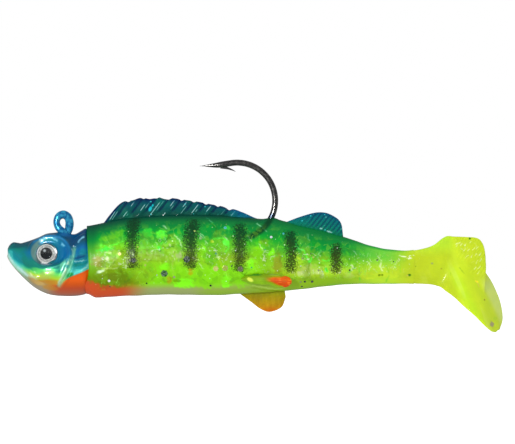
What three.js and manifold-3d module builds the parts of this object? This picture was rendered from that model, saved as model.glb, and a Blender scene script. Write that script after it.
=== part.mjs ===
// Paddle-tail swimbait on a lead jig head: a painted casting moulded round a jig hook, and a soft
// body that slides over the hook and is held by a keeper on the casting's collar.
//
// Millimetres. The origin is the centre of the line-tie eye, +X runs towards the tail, +Z is up
// (the back of the fish) and +Y is the fish's right flank. Head left, tail right, seen from -Y.
//
// The soft body bends all along its length. It is cut here at three upright hinges, each a barrel on
// the rear piece in a socket of the piece before it.

import * as THREE from "three";
import { mergeVertices } from "three/addons/utils/BufferGeometryUtils.js";
import Module from "manifold-3d";

const wasm = await Module();
wasm.setup();

// ---------------------------------------------------------------- driving dimensions

const GAP = 0.3; // clearance between pieces that touch
const OUT = 1; // how far a cutter runs past the face it cuts

const WIRE_R = 0.62; // hook wire
const WIRE_SIDES = 10;
const EYE_RING_R = 1.4; // centreline of the line-tie eye
const SHANK_Z = -3.55;
const SHANK_BEND_R = 1.4; // from the eye's stem into the shank
const BEND_X = 36; // centre of the hook's round bend
const BEND_R = 7.85;
const BEND_END = THREE.MathUtils.degToRad(98);
const POINT = [28.3, 11.45]; // hook point, X and Z
const BARB = [[33.3, 11.3], [34.9, 11.6], [35.65, 10.27]];
const BARB_THICKNESS = 0.5;

const NOSE_X = -11.3;
const NECK_X = 5.1; // rear face of the head, where the soft body starts
const COLLAR_R = 1.75;
const COLLAR_END_X = 13;
const KEEPER_X = [9, 12]; // the keeper flares from the first to the second
const KEEPER_R = 2.4;

const FISH_EYE = [-3.07, -6.77]; // X and Z of the eye's centre
const FISH_EYE_R = 2.15;
const EYE_SOCKET_Y = 3.35; // floor of the eye socket, from the middle plane
const EYE_FOIL_T = 0.25;
const EYE_DOME_H = 1.1;

const BODY_HINGE_X = 46.2;
const WAG_HINGE_X = 66.5;
const KICK_HINGE_X = 76;
const TAIL_END_X = 81;

const FOIL_T = 0.3;
const FOIL_POCKET_RUN = 4; // how far a pocket runs on behind its foil, into the hinge socket
const DORSAL_T = 1.1;
const PELVIC_T = 0.8;
const WEB_T = 1.3; // upright fin of the tail
const DISH_T = 1.3; // tail paddle

// Outlines as [X, Z], and half-widths as [X, Y].
const HEAD_TOP = [
  [-11.3, -5.6], [-10.2, -4.4], [-8.5, -4.45], [-5.3, -3.4], [-2, -2.4], [1.2, -2.7],
  [2.6, -2.6], [5.1, -1.2],
];
const HEAD_BOTTOM = [
  [-11.3, -6.4], [-10.6, -8.4], [-9.5, -10.1], [-7.1, -12.5], [-5.3, -13.9], [-2.7, -15],
  [0.7, -15.4], [5.1, -14.9],
];
const HEAD_HALF = [
  [-11.3, 0.5], [-10.2, 1.9], [-8, 3.1], [-5, 4.2], [-2, 4.7], [1, 4.8], [5.1, 4.6],
];
const BACK = [
  [5.1, -0.9], [8.5, -0.3], [12.4, 0.6], [22, 1.2], [32.4, 1.2], [41, 0.5], [44.1, 0.4],
  [49.1, -1], [56.5, -2.8], [63.3, -4.8], [66.5, -5.7], [70.5, -6], [76.1, -4.7], [81, -2.9],
];
const BELLY = [
  [5.1, -15], [6.7, -15.7], [13.9, -15.3], [22, -15.1], [32.4, -15.2], [36.8, -14.9],
  [48.6, -14], [58.2, -13], [66.5, -12.9], [73.6, -12.8], [76.1, -13.1], [78.7, -13.4], [81, -12.6],
];
const BODY_HALF = [
  [5.1, 4.5], [12, 4.9], [25, 5], [35, 4.8], [46, 4.25], [56, 3.3], [63, 2.5], [66.5, 2.15],
  [70.5, 1.75], [76, 1.35], [81, 0.9],
];
const FRONT_DORSAL = [
  [8.5, 0.1], [9.7, 1.4], [11.5, 3.4], [12.8, 4.2], [14.3, 4.3], [16.3, 4.9], [18, 4.6],
  [19.6, 5], [21.1, 4.6], [22.3, 4.85], [25, 4.5], [27.9, 4.1], [30.4, 3.6], [33, 3.1],
  [34.5, 2.5], [35.2, 2.5], [37.4, 1.8], [39.2, 1.2],
];
const REAR_DORSAL = [
  [46.9, 0.2], [48.6, 0.8], [51.2, 1.65], [52.9, 1.9], [54.6, 1.7], [56.2, 0.95], [57.1, 0.2],
  [57.6, -0.8], [57.8, -2.4],
];
const RIGHT_PELVIC = [
  [36.8, -15.25], [38.8, -16.6], [40.8, -18.1], [42.8, -18.65], [44.6, -18.1], [45.7, -16.8],
  [46, -15.5], [45.5, -14.7],
];
const LEFT_PELVIC = [
  [37.4, -11.2], [40, -10.8], [43, -10.8], [45.8, -11.2], [47.2, -12], [46.8, -12.9],
  [45.3, -13.9], [43.6, -13.8], [41.5, -13], [37.8, -12.7],
];
const RIGHT_PELVIC_Y = 1.4;
const LEFT_PELVIC_Y = -4.85; // inner face at its root
const LEFT_PELVIC_SPLAY = THREE.MathUtils.degToRad(8);

const WEB = [
  [78.6, -4], [79.6, -3], [82.5, -3.2], [85.6, -3.5], [86.5, -4.5], [87.1, -7], [87.2, -11],
  [87, -14.6], [84, -11.5], [80.5, -8],
];
// The paddle's near edge, crease and far edge as [X, Y, Z], from the stem to the tip.
const DISH_NEAR = [
  [77.2, -0.8, -12.9], [79, -2.4, -13.9], [81.6, -4.2, -15.9], [84.1, -5.2, -18.2],
  [86.6, -4.6, -20.6], [88.4, -2.5, -22.1], [89.3, -0.9, -22.6],
];
const DISH_CREASE = [
  [79.4, -0.1, -4.6], [81.6, 0, -7.6], [84.1, 0, -11.2], [86.3, 0, -14.8], [88.1, 0, -18.4],
  [89.1, 0, -21], [89.5, 0, -22.4],
];
const DISH_FAR = [
  [80, 0.6, -4], [83, 2.4, -5.9], [86, 4.1, -9], [88.3, 5.1, -12.7], [89.7, 4.8, -16.2],
  [90.3, 2.6, -20.2], [89.8, 0.8, -22.3],
];

// ---------------------------------------------------------------- materials

function material(color, roughness, metalness) {
  return new THREE.MeshStandardMaterial({ color, roughness, metalness });
}

const HEAD_PAINT = material(0x1478be, 0.3, 0.3);
const BLACK_NICKEL = material(0x1c1e20, 0.3, 0.9);
const SILVER_FOIL = material(0xd8d8d4, 0.25, 0.9);
const CLEAR_RESIN = material(0x2a2c2e, 0.08, 0);
const GREEN_SKIN = material(0x3cba3a, 0.3, 0);
const TEAL_SKIN = material(0x006464, 0.35, 0);
const AMBER_SKIN = material(0xb08714, 0.35, 0);
const CHARTREUSE_SKIN = material(0xc8e12d, 0.3, 0);

// ---------------------------------------------------------------- curves and solids

// A smooth function through [x, value] pairs: cubic pieces with central-difference slopes.
function smoothLine(points) {
  const slope = (i) => {
    const a = points[Math.max(i - 1, 0)];
    const b = points[Math.min(i + 1, points.length - 1)];
    return (b[1] - a[1]) / (b[0] - a[0]);
  };
  return (x) => {
    let i = 0;
    while (i < points.length - 2 && x > points[i + 1][0]) i += 1;
    const [x0, v0] = points[i];
    const [x1, v1] = points[i + 1];
    const span = x1 - x0;
    const t = THREE.MathUtils.clamp((x - x0) / span, 0, 1);
    const blend = t * t * (3 - 2 * t);
    const startTerm = t * (1 - t) * (1 - t) * span * slope(i);
    const endTerm = t * t * (1 - t) * span * slope(i + 1);
    return v0 + (v1 - v0) * blend + startTerm - endTerm;
  };
}

function toSolid(geometry) {
  const bare = geometry.clone();
  bare.deleteAttribute("normal");
  bare.deleteAttribute("uv");
  const merged = mergeVertices(bare, 1e-4);
  return new wasm.Manifold(new wasm.Mesh({
    numProp: 3,
    vertProperties: new Float32Array(merged.attributes.position.array),
    triVerts: new Uint32Array(merged.index.array),
  }));
}

function toGeometry(solid) {
  const mesh = solid.getMesh();
  const geometry = new THREE.BufferGeometry();
  geometry.setAttribute("position", new THREE.BufferAttribute(mesh.vertProperties, 3));
  geometry.setIndex(new THREE.BufferAttribute(mesh.triVerts, 1));
  geometry.computeVertexNormals();
  return geometry;
}

// A closed skin over rings of equal length, each a list of Vector3, with a fan over both ends.
function loft(rings) {
  const count = rings[0].length;
  const positions = [];
  const index = [];
  rings.flat().forEach((p) => positions.push(p.x, p.y, p.z));
  for (let r = 0; r < rings.length - 1; r += 1) {
    for (let i = 0; i < count; i += 1) {
      const a = r * count + i;
      const b = r * count + ((i + 1) % count);
      index.push(a, b, a + count, b, b + count, a + count);
    }
  }
  [[0, true], [rings.length - 1, false]].forEach(([r, first]) => {
    const middle = new THREE.Vector3();
    rings[r].forEach((p) => middle.addScaledVector(p, 1 / count));
    const centre = positions.length / 3;
    positions.push(middle.x, middle.y, middle.z);
    for (let i = 0; i < count; i += 1) {
      const a = r * count + i;
      const b = r * count + ((i + 1) % count);
      if (first) index.push(centre, b, a);
      else index.push(centre, a, b);
    }
  });
  const geometry = new THREE.BufferGeometry();
  geometry.setAttribute("position", new THREE.Float32BufferAttribute(positions, 3));
  geometry.setIndex(index);
  return geometry;
}

// One point of an oval section, fuller below its middle. The angle runs from +Y towards +Z.
function ovalPoint({ top, bottom, half }, angle, grow = 0) {
  const fullness = 1 - 0.09 * Math.sin(angle);
  const y = (half * fullness + grow) * Math.cos(angle);
  const z = (top + bottom) / 2 + ((top - bottom) / 2 + grow) * Math.sin(angle);
  return [y, z];
}

function ovalRing(x, section, count = 28) {
  return Array.from({ length: count }, (_, i) => {
    const [y, z] = ovalPoint(section, (2 * Math.PI * i) / count);
    return new THREE.Vector3(x, y, z);
  });
}

function steps(from, to, count) {
  return Array.from({ length: count + 1 }, (_, i) => from + ((to - from) * i) / count);
}

const back = smoothLine(BACK);
const belly = smoothLine(BELLY);
const bodyHalf = smoothLine(BODY_HALF);

function bodySection(x) {
  return { top: back(x), bottom: belly(x), half: bodyHalf(x) };
}

function bodyLoft(fromX, toX) {
  const count = Math.max(3, Math.round((toX - fromX) / 2));
  return toSolid(loft(steps(fromX, toX, count).map((x) => ovalRing(x, bodySection(x)))));
}

// The body's section at a hinge turned about the hinge's upright axis.
function hingeBarrel(x, grow) {
  const section = bodySection(x);
  const rows = 16;
  const profile = steps(-Math.PI / 2, Math.PI / 2, rows).map((angle, i) => {
    const [y, z] = ovalPoint(section, angle, grow);
    return new THREE.Vector2(i === 0 || i === rows ? 0 : y, z);
  });
  return toSolid(new THREE.LatheGeometry(profile, 32).rotateX(Math.PI / 2).translate(x, 0, 0));
}

// A flat plate with the given outline in X and Z, centred on Y.
function plate(outline, thickness) {
  const shape = new THREE.Shape(outline.map(([x, z]) => new THREE.Vector2(x, z)));
  const geometry = new THREE.ExtrudeGeometry(shape, { depth: thickness, bevelEnabled: false });
  return geometry.translate(0, 0, -thickness / 2).rotateX(Math.PI / 2);
}

function boxSolid([x0, y0, z0], [x1, y1, z1]) {
  const box = new THREE.BoxGeometry(x1 - x0, y1 - y0, z1 - z0);
  return toSolid(box.translate((x0 + x1) / 2, (y0 + y1) / 2, (z0 + z1) / 2));
}

// A cylinder or cone along X.
function rodSolid(fromX, toX, fromR, toR, z, sides = 20) {
  const rod = new THREE.CylinderGeometry(toR, fromR, toX - fromX, sides);
  return toSolid(rod.rotateZ(-Math.PI / 2).translate((fromX + toX) / 2, 0, z));
}

function subMesh(name, geometry, meshMaterial) {
  const mesh = new THREE.Mesh(geometry, meshMaterial);
  mesh.name = name;
  return mesh;
}

// ---------------------------------------------------------------- the hook

// Centreline of the wire from below the eye to the end of the round bend.
function hookPath() {
  const points = [];
  const bendStartX = SHANK_BEND_R;
  steps(0, Math.PI / 2, 6).forEach((a) => {
    const x = bendStartX - SHANK_BEND_R * Math.cos(a);
    points.push(new THREE.Vector3(x, 0, SHANK_Z + SHANK_BEND_R * (1 - Math.sin(a))));
  });
  steps(4, BEND_X - 2, 10).forEach((x) => points.push(new THREE.Vector3(x, 0, SHANK_Z)));
  steps(-Math.PI / 2, BEND_END, 26).forEach((a) => {
    const z = SHANK_Z + BEND_R + BEND_R * Math.sin(a);
    points.push(new THREE.Vector3(BEND_X + BEND_R * Math.cos(a), 0, z));
  });
  return new THREE.CatmullRomCurve3(points, false, "centripetal");
}

function wireSolid(radius) {
  const circle = new THREE.Shape().absarc(0, 0, radius, 0, 2 * Math.PI);
  const options = { steps: 60, curveSegments: WIRE_SIDES / 2, bevelEnabled: false, extrudePath: hookPath() };
  return toSolid(new THREE.ExtrudeGeometry(circle, options));
}

// A tapered rod between two points in the hook's plane.
function taper(fromPoint, toPoint, fromR, toR) {
  const run = new THREE.Vector2(toPoint[0] - fromPoint[0], toPoint[1] - fromPoint[1]);
  const rod = new THREE.CylinderGeometry(toR, fromR, run.length(), 12);
  rod.rotateZ(-Math.PI / 2).rotateY(-run.angle());
  return toSolid(rod.translate(fromPoint[0] + run.x / 2, 0, fromPoint[1] + run.y / 2));
}

function jigHook() {
  const bendEnd = [
    BEND_X + BEND_R * Math.cos(BEND_END),
    SHANK_Z + BEND_R + BEND_R * Math.sin(BEND_END),
  ];
  const spear = [32, POINT[1] + 0.13];
  const ring = toSolid(new THREE.TorusGeometry(EYE_RING_R, WIRE_R, 12, 28).rotateX(Math.PI / 2));
  const stem = toSolid(new THREE.CylinderGeometry(WIRE_R, WIRE_R, 1.2, 12).rotateX(Math.PI / 2)
    .translate(0, 0, -EYE_RING_R - 0.55));
  const hook = wireSolid(WIRE_R)
    .add(ring)
    .add(stem)
    .add(toSolid(new THREE.SphereGeometry(WIRE_R, 12, 8).translate(bendEnd[0], 0, bendEnd[1])))
    .add(taper(bendEnd, spear, WIRE_R, WIRE_R * 0.95))
    .add(taper([spear[0] + 0.2, spear[1]], POINT, WIRE_R * 0.95, 0.06))
    .add(toSolid(plate(BARB, BARB_THICKNESS)));
  return subMesh("jig_hook", toGeometry(hook), BLACK_NICKEL);
}

// ---------------------------------------------------------------- the head

function eyeDisc(side, radius, fromY, thickness) {
  const disc = new THREE.CylinderGeometry(radius, radius, thickness, 32);
  return disc.translate(FISH_EYE[0], side * (fromY + thickness / 2), FISH_EYE[1]);
}

// The casting's collar and keeper, which sit inside the soft body.
function collar(grow) {
  const [keeperFrom, keeperTo] = KEEPER_X;
  return rodSolid(NECK_X - OUT, COLLAR_END_X + grow, COLLAR_R + grow, COLLAR_R + grow, SHANK_Z)
    .add(rodSolid(keeperFrom - grow, keeperTo + grow, COLLAR_R + grow, KEEPER_R + grow, SHANK_Z));
}

function headCasting() {
  const top = smoothLine(HEAD_TOP);
  const bottom = smoothLine(HEAD_BOTTOM);
  const half = smoothLine(HEAD_HALF);
  const rings = [0, 0.4, 1.1, 2, 3, 4.4, 6, 7.8, 9.6, 11.4, 13.2, 14.8, NECK_X - NOSE_X]
    .map((run) => NOSE_X + run)
    .map((x) => ovalRing(x, { top: top(x), bottom: bottom(x), half: half(x) }));
  let casting = toSolid(loft(rings)).add(collar(0)).subtract(wireSolid(WIRE_R + GAP));
  const wireChannel = new THREE.CylinderGeometry(WIRE_R + GAP, WIRE_R + GAP, 3, 12);
  casting = casting
    .subtract(toSolid(wireChannel.rotateX(Math.PI / 2).translate(0, 0, -EYE_RING_R - 0.8)))
    .subtract(toSolid(new THREE.TorusGeometry(EYE_RING_R, WIRE_R + GAP, 12, 28)
      .rotateX(Math.PI / 2)));
  [-1, 1].forEach((side) => {
    const socket = eyeDisc(side, FISH_EYE_R + GAP, EYE_SOCKET_Y, 4);
    casting = casting.subtract(toSolid(socket));
  });
  return subMesh("head_casting", toGeometry(casting), HEAD_PAINT);
}

function eyeFoil(name, side) {
  const disc = eyeDisc(side, FISH_EYE_R, EYE_SOCKET_Y + GAP, EYE_FOIL_T);
  return subMesh(name, toGeometry(toSolid(disc)), SILVER_FOIL);
}

// A clear cap: the top of a sphere over a flat face.
function eyeDome(name, side) {
  const baseY = EYE_SOCKET_Y + 2 * GAP + EYE_FOIL_T;
  const ball = (FISH_EYE_R ** 2 + EYE_DOME_H ** 2) / (2 * EYE_DOME_H);
  const halfAngle = Math.asin(FISH_EYE_R / ball);
  const profile = steps(halfAngle, 0, 7).map((a, i) => {
    const height = ball * (Math.cos(a) - Math.cos(halfAngle));
    return new THREE.Vector2(i === 7 ? 0 : ball * Math.sin(a), height);
  });
  const dome = new THREE.LatheGeometry([new THREE.Vector2(0, 0), ...profile], 32);
  if (side < 0) dome.rotateX(Math.PI);
  dome.translate(FISH_EYE[0], side * baseY, FISH_EYE[1]);
  return subMesh(name, toGeometry(toSolid(dome)), CLEAR_RESIN);
}

// ---------------------------------------------------------------- the soft body

// Both foils of one body piece lie in pockets that run out at the piece's rear end.
function foilSheet(fromX, toX, fromZ, toZ, innerY, side, grow = 0) {
  const low = side > 0 ? innerY : -innerY - FOIL_T;
  return boxSolid(
    [fromX - grow, low - grow, fromZ - grow],
    [toX + (grow ? FOIL_POCKET_RUN : 0), low + FOIL_T + grow, toZ + grow],
  );
}

const FRONT_FOIL = [15, 40.5, -11, -4.5, 2.9];
const REAR_FOIL = [51.8, 61, -10.6, -7.4, 1.1];

function bodyFront() {
  let front = bodyLoft(NECK_X + GAP, BODY_HINGE_X - GAP)
    .subtract(hingeBarrel(BODY_HINGE_X, GAP))
    .subtract(collar(GAP))
    .subtract(wireSolid(WIRE_R + GAP));
  [-1, 1].forEach((side) => {
    front = front.subtract(foilSheet(...FRONT_FOIL, side, GAP));
  });
  return subMesh("body_front", toGeometry(front), GREEN_SKIN);
}

function bodyMiddle() {
  let middle = bodyLoft(BODY_HINGE_X, WAG_HINGE_X - GAP)
    .add(hingeBarrel(BODY_HINGE_X, 0))
    .subtract(hingeBarrel(WAG_HINGE_X, GAP));
  [-1, 1].forEach((side) => {
    middle = middle.subtract(foilSheet(...REAR_FOIL, side, GAP));
  });
  return subMesh("body_middle", toGeometry(middle), GREEN_SKIN);
}

function tailStem() {
  const stem = bodyLoft(WAG_HINGE_X, KICK_HINGE_X - GAP)
    .add(hingeBarrel(WAG_HINGE_X, 0))
    .subtract(hingeBarrel(KICK_HINGE_X, GAP));
  return subMesh("tail_stem", toGeometry(stem), CHARTREUSE_SKIN);
}

function dorsalFin(name, outline) {
  const [first, last] = [outline[0][0], outline[outline.length - 1][0]];
  const base = steps(last, first, 8).map((x) => [x, back(x) + GAP]);
  return subMesh(name, toGeometry(toSolid(plate([...outline, ...base], DORSAL_T))), TEAL_SKIN);
}

function rightPelvicFin() {
  const root = steps(45.2, 37.2, 4).map((x) => [x, belly(x) - GAP]);
  const fin = plate([...RIGHT_PELVIC, ...root], PELVIC_T).translate(0, RIGHT_PELVIC_Y, 0);
  return subMesh("pelvic_fin_right", toGeometry(toSolid(fin)), AMBER_SKIN);
}

// This fin splays out from the flank, turned about its front end.
function leftPelvicFin() {
  const [rootX] = LEFT_PELVIC[0];
  const fin = plate(LEFT_PELVIC, PELVIC_T)
    .translate(-rootX, -PELVIC_T / 2, 0)
    .rotateZ(-LEFT_PELVIC_SPLAY)
    .translate(rootX, LEFT_PELVIC_Y, 0);
  return subMesh("pelvic_fin_left", toGeometry(toSolid(fin)), AMBER_SKIN);
}

// One closed strip of the paddle across near edge, crease and far edge.
function dishRing(near, crease, far) {
  const across = new THREE.QuadraticBezierCurve3(
    near,
    crease.clone().multiplyScalar(2).addScaledVector(near, -0.5).addScaledVector(far, -0.5),
    far,
  );
  const down = new THREE.Vector3(0.45, 0, -0.89);
  const count = 10;
  const sides = [1, -1].map((side) => steps(0, 1, count).map((t) => {
    const face = across.getTangent(t).cross(down).normalize();
    const thick = DISH_T * (0.35 + 0.65 * Math.sin(Math.PI * t));
    return across.getPoint(t).addScaledVector(face, (side * thick) / 2);
  }));
  return [...sides[0], ...sides[1].reverse()];
}

function paddleTail() {
  const spline = (points) => new THREE.CatmullRomCurve3(points.map((p) => new THREE.Vector3(...p)));
  const [near, crease, far] = [DISH_NEAR, DISH_CREASE, DISH_FAR].map(spline);
  const rings = steps(0, 1, 16).map((t) => dishRing(
    near.getPoint(t),
    crease.getPoint(t),
    far.getPoint(t),
  ));
  const tail = bodyLoft(KICK_HINGE_X, TAIL_END_X)
    .add(hingeBarrel(KICK_HINGE_X, 0))
    .add(toSolid(loft(rings)))
    .add(toSolid(plate(WEB, WEB_T)));
  return subMesh("paddle_tail", toGeometry(tail), CHARTREUSE_SKIN);
}

// ---------------------------------------------------------------- assembly

const SIDES = [["left", -1], ["right", 1]];

const swimbait = new THREE.Group();
swimbait.add(headCasting(), jigHook());
SIDES.forEach(([word, side]) => {
  swimbait.add(eyeFoil(`eye_foil_${word}`, side), eyeDome(`eye_dome_${word}`, side));
});
swimbait.add(bodyFront(), bodyMiddle(), tailStem(), paddleTail());
swimbait.add(dorsalFin("dorsal_fin_front", FRONT_DORSAL), dorsalFin("dorsal_fin_rear", REAR_DORSAL));
swimbait.add(leftPelvicFin(), rightPelvicFin());
[["front", FRONT_FOIL], ["rear", REAR_FOIL]].forEach(([place, sheet]) => {
  SIDES.forEach(([word, side]) => {
    const foil = toGeometry(foilSheet(...sheet, side));
    swimbait.add(subMesh(`flash_foil_${place}_${word}`, foil, SILVER_FOIL));
  });
});

export default swimbait;
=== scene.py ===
import math

import bpy
import numpy as np
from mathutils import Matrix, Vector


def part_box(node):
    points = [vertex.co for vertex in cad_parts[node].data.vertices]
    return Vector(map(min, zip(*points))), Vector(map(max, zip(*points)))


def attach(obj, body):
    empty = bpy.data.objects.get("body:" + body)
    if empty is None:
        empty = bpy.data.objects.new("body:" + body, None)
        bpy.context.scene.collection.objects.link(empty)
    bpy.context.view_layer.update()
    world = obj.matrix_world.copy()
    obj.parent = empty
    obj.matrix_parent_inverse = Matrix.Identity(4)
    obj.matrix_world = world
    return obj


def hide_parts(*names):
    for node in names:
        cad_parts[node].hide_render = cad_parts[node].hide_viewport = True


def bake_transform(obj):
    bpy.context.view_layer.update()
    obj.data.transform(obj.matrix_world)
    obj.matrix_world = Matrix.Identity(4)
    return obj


# Looks of the swimbait. Shapes are worked out in millimetres in the CAD frame: the origin is the
# line-tie eye, +X runs to the tail, +Z is up and -Y is the left flank, which faces the camera.
# Every mesh keeps its rest place in the attribute "rest", in millimetres, so that its material
# stays put when the body bends.

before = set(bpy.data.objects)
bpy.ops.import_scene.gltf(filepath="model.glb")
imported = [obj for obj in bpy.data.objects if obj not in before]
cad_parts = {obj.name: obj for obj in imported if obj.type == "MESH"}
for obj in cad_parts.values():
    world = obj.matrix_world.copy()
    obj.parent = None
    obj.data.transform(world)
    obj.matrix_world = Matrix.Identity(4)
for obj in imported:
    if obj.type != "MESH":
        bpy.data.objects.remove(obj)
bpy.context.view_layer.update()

MM = 0.001
rng = np.random.default_rng(7)

# ---------------------------------------------------------------- outlines, in millimetres

HEAD_TOP = [
    (-11.3, -5.5), (-10.9, -4.8), (-10.2, -4.3), (-9.4, -4.35), (-8.5, -4.45), (-5.3, -3.4),
    (-3.4, -2.55), (-2, -2.35), (-0.2, -2.45), (1.4, -2.72), (2.6, -2.6), (3.7, -2), (5.1, -1.2),
    (6.6, -0.9),
]
HEAD_BOTTOM = [
    (-11.3, -6.3), (-11.1, -7.3), (-10.6, -8.5), (-9.5, -10.1), (-7.1, -12.5), (-5.3, -13.9),
    (-2.7, -15.05), (0.7, -15.4), (3.3, -15.3), (5.2, -14.9), (6.6, -14.6),
]
HEAD_HALF = [
    (-11.3, 0.35), (-10.9, 1.1), (-10.2, 1.8), (-8, 3.05), (-5, 4.15), (-2, 4.65), (1, 4.75),
    (5.1, 4.55), (6.6, 4.3),
]
BACK = [
    (5.1, -0.9), (8.5, -0.3), (12.4, 0.6), (22, 1.2), (32.4, 1.2), (41, 0.5), (44.1, 0.4),
    (49.1, -1), (56.5, -2.8), (58.6, -3.35), (60.7, -4.1), (63.4, -4.95), (66.5, -5.6), (70, -5.95),
    (73.3, -5.75), (75.65, -5.2), (77.3, -4.35), (78.6, -3.6), (81, -3.1),
]
BELLY = [
    (5.1, -15), (6.7, -15.7), (13.9, -15.3), (22, -15.1), (32.4, -15.2), (36.8, -14.9),
    (48.6, -14), (58.2, -13), (66.5, -12.9), (73, -12.85), (75.6, -13.1), (78, -13.7), (81, -14.6),
]
BODY_HALF = [
    (5.1, 4.5), (12, 4.9), (25, 5), (35, 4.8), (46, 4.25), (56, 3.3), (63, 2.5), (66.5, 2.15),
    (70.5, 1.75), (76, 1.35), (81, 0.9),
]
SLEEVE_EDGE = [(-16, 5.6), (-13.4, 5.15), (-11.5, 5.9), (-9, 6.15), (-5, 5.85), (-1, 5.45)]
FRONT_DORSAL_TOP = [
    (8.4, -0.4), (9.7, 1.35), (11.5, 3.4), (12.8, 4.2), (14.3, 4.35), (16.3, 4.95), (18, 4.65),
    (19.6, 5.05), (21.1, 4.65), (22.3, 4.85), (25, 4.5), (27.9, 4.1), (30.4, 3.6), (33, 3.1),
    (34.5, 2.5), (35.3, 2.55), (37.4, 1.8), (39.6, 0.8), (41, 0.4),
]
REAR_DORSAL_TOP = [
    (45.6, -0.3), (46.9, 0.2), (48.6, 0.85), (51.2, 1.65), (52.9, 1.92), (54.6, 1.73),
    (56.2, 0.95), (57.1, 0.2), (57.6, -0.85), (57.8, -2.4), (57.9, -3.3),
]

SHANK_Z = -3.55
BEND_X, BEND_Z, BEND_R = 36, 4.3, 7.85
HOOK_WIRE_R = 0.62
HOOK_POINT = (28.3, 0, 11.45)

FISH_EYE_X, FISH_EYE_Z, FISH_EYE_R = -2.9, -6.58, 2.15
EYE_FOIL_Y = 3.72  # printed face of the eye, from the middle plane
EYE_DOME_H = 1.25
SOCKET, SOCKET_HALF = (-2.4, -6.15), (4.0, 3.1)

FOIL_PINCH = (50.8, -8.3)  # where the foil is drawn to a point
PADDLE_TOP = (79.6, -3)  # top corner of the paddle
PADDLE_RUN, PADDLE_DROP = 0.445, 0.895  # its slope, as parts of a unit step down it

# Where the skins end, and for each piece that spans two bodies, the stretch where it passes from one
# to the other.
FRONT_SKIN = (5.1, 56)
REAR_SKIN = (56, 72.4)
TAIL_SKIN_FROM = 70.8
BODY_BEND = (41.5, 51)
WAG_BEND = (63, 70)
KICK_BEND = (73, 79)
FIN_BEND = (37.5, 42)

# The dark bars: middle, half width, top, foot.
BARS = [
    (14.75, 2.15, 0.6, -9.9), (26.6, 2.4, 0.2, -9.9), (36.55, 2.15, -0.6, -10.6),
    (47, 2.05, -2.1, -10.8), (56.3, 1.85, -4.7, -11),
]

GLOSS_HAZE = 0.012

# ---------------------------------------------------------------- small maths


def smooth_line(points):
    """A smooth function through (x, value) pairs: cubic pieces with central-difference slopes."""
    xs, vs = np.array(points, float).T
    slopes = np.empty_like(vs)
    slopes[1:-1] = (vs[2:] - vs[:-2]) / (xs[2:] - xs[:-2])
    slopes[0] = (vs[1] - vs[0]) / (xs[1] - xs[0])
    slopes[-1] = (vs[-1] - vs[-2]) / (xs[-1] - xs[-2])

    def value(x):
        x = np.asarray(x, float)
        i = np.clip(np.searchsorted(xs, x) - 1, 0, len(xs) - 2)
        span = xs[i + 1] - xs[i]
        t = np.clip((x - xs[i]) / span, 0, 1)
        ease = t * t * (3 - 2 * t)
        return (
            vs[i] + (vs[i + 1] - vs[i]) * ease
            + t * (1 - t) ** 2 * span * slopes[i]
            - t * t * (1 - t) * span * slopes[i + 1]
        )

    return value


def smoothstep(low, high, x):
    t = np.clip((np.asarray(x, float) - low) / (high - low), 0, 1)
    return t * t * (3 - 2 * t)


def bump(x, centre, width):
    return np.exp(-(((x - centre) / width) ** 2))


def full_turn(count, start=0.0):
    """Angles evenly spaced round a circle."""
    return np.linspace(start, start + 2 * math.pi, count, endpoint=False)


def moved(line, step_x, step_z=0.0):
    return [(x + step_x, z + step_z) for x, z in line]


def spline(points, count):
    """Points of a Catmull-Rom curve through the given ones, evenly spaced by length."""
    p = np.array(points, float)
    p = np.vstack([2 * p[0] - p[1], p, 2 * p[-1] - p[-2]])
    fine = []
    for i in range(len(p) - 3):
        t = np.linspace(0, 1, 24, endpoint=False)[:, None]
        a, b, c, d = p[i:i + 4]
        fine.append(0.5 * (2 * b + (c - a) * t + (2 * a - 5 * b + 4 * c - d) * t ** 2
                           + (3 * b - a - 3 * c + d) * t ** 3))
    fine = np.vstack([*fine, p[-2:-1]])
    run = np.concatenate([[0], np.cumsum(np.linalg.norm(np.diff(fine, axis=0), axis=1))])
    want = np.linspace(0, run[-1], count)
    return np.stack([np.interp(want, run, fine[:, k]) for k in range(fine.shape[1])], axis=1)


def ridge(x, z, points, width):
    """1 on the line through the points, falling to 0 within about twice the width."""
    near = np.full(np.shape(x), 1e9)
    line = spline(points, 24)
    reach = 3 * width
    close = (x > line[:, 0].min() - reach) & (x < line[:, 0].max() + reach)
    close &= (z > line[:, 1].min() - reach) & (z < line[:, 1].max() + reach)
    cx, cz, best = x[close], z[close], near[close]
    for (ax, az), (bx, bz) in zip(line[:-1], line[1:]):
        run = (bx - ax) ** 2 + (bz - az) ** 2
        t = np.clip(((cx - ax) * (bx - ax) + (cz - az) * (bz - az)) / run, 0, 1)
        best = np.minimum(best, (cx - ax - t * (bx - ax)) ** 2 + (cz - az - t * (bz - az)) ** 2)
    near[close] = best
    return np.exp(-near / width ** 2)


def patch(x, z, centre_x, centre_z, radius_x, radius_z, tilt, ragged=0.0):
    """1 inside a tilted oval with a soft edge, 0 outside it; ragged moves the edge about."""
    c, s = math.cos(math.radians(tilt)), math.sin(math.radians(tilt))
    u = ((x - centre_x) * c + (z - centre_z) * s) / radius_x
    v = ((z - centre_z) * c - (x - centre_x) * s) / radius_z
    return smoothstep(1.2, 0.6, np.hypot(u, v) + ragged)


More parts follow.
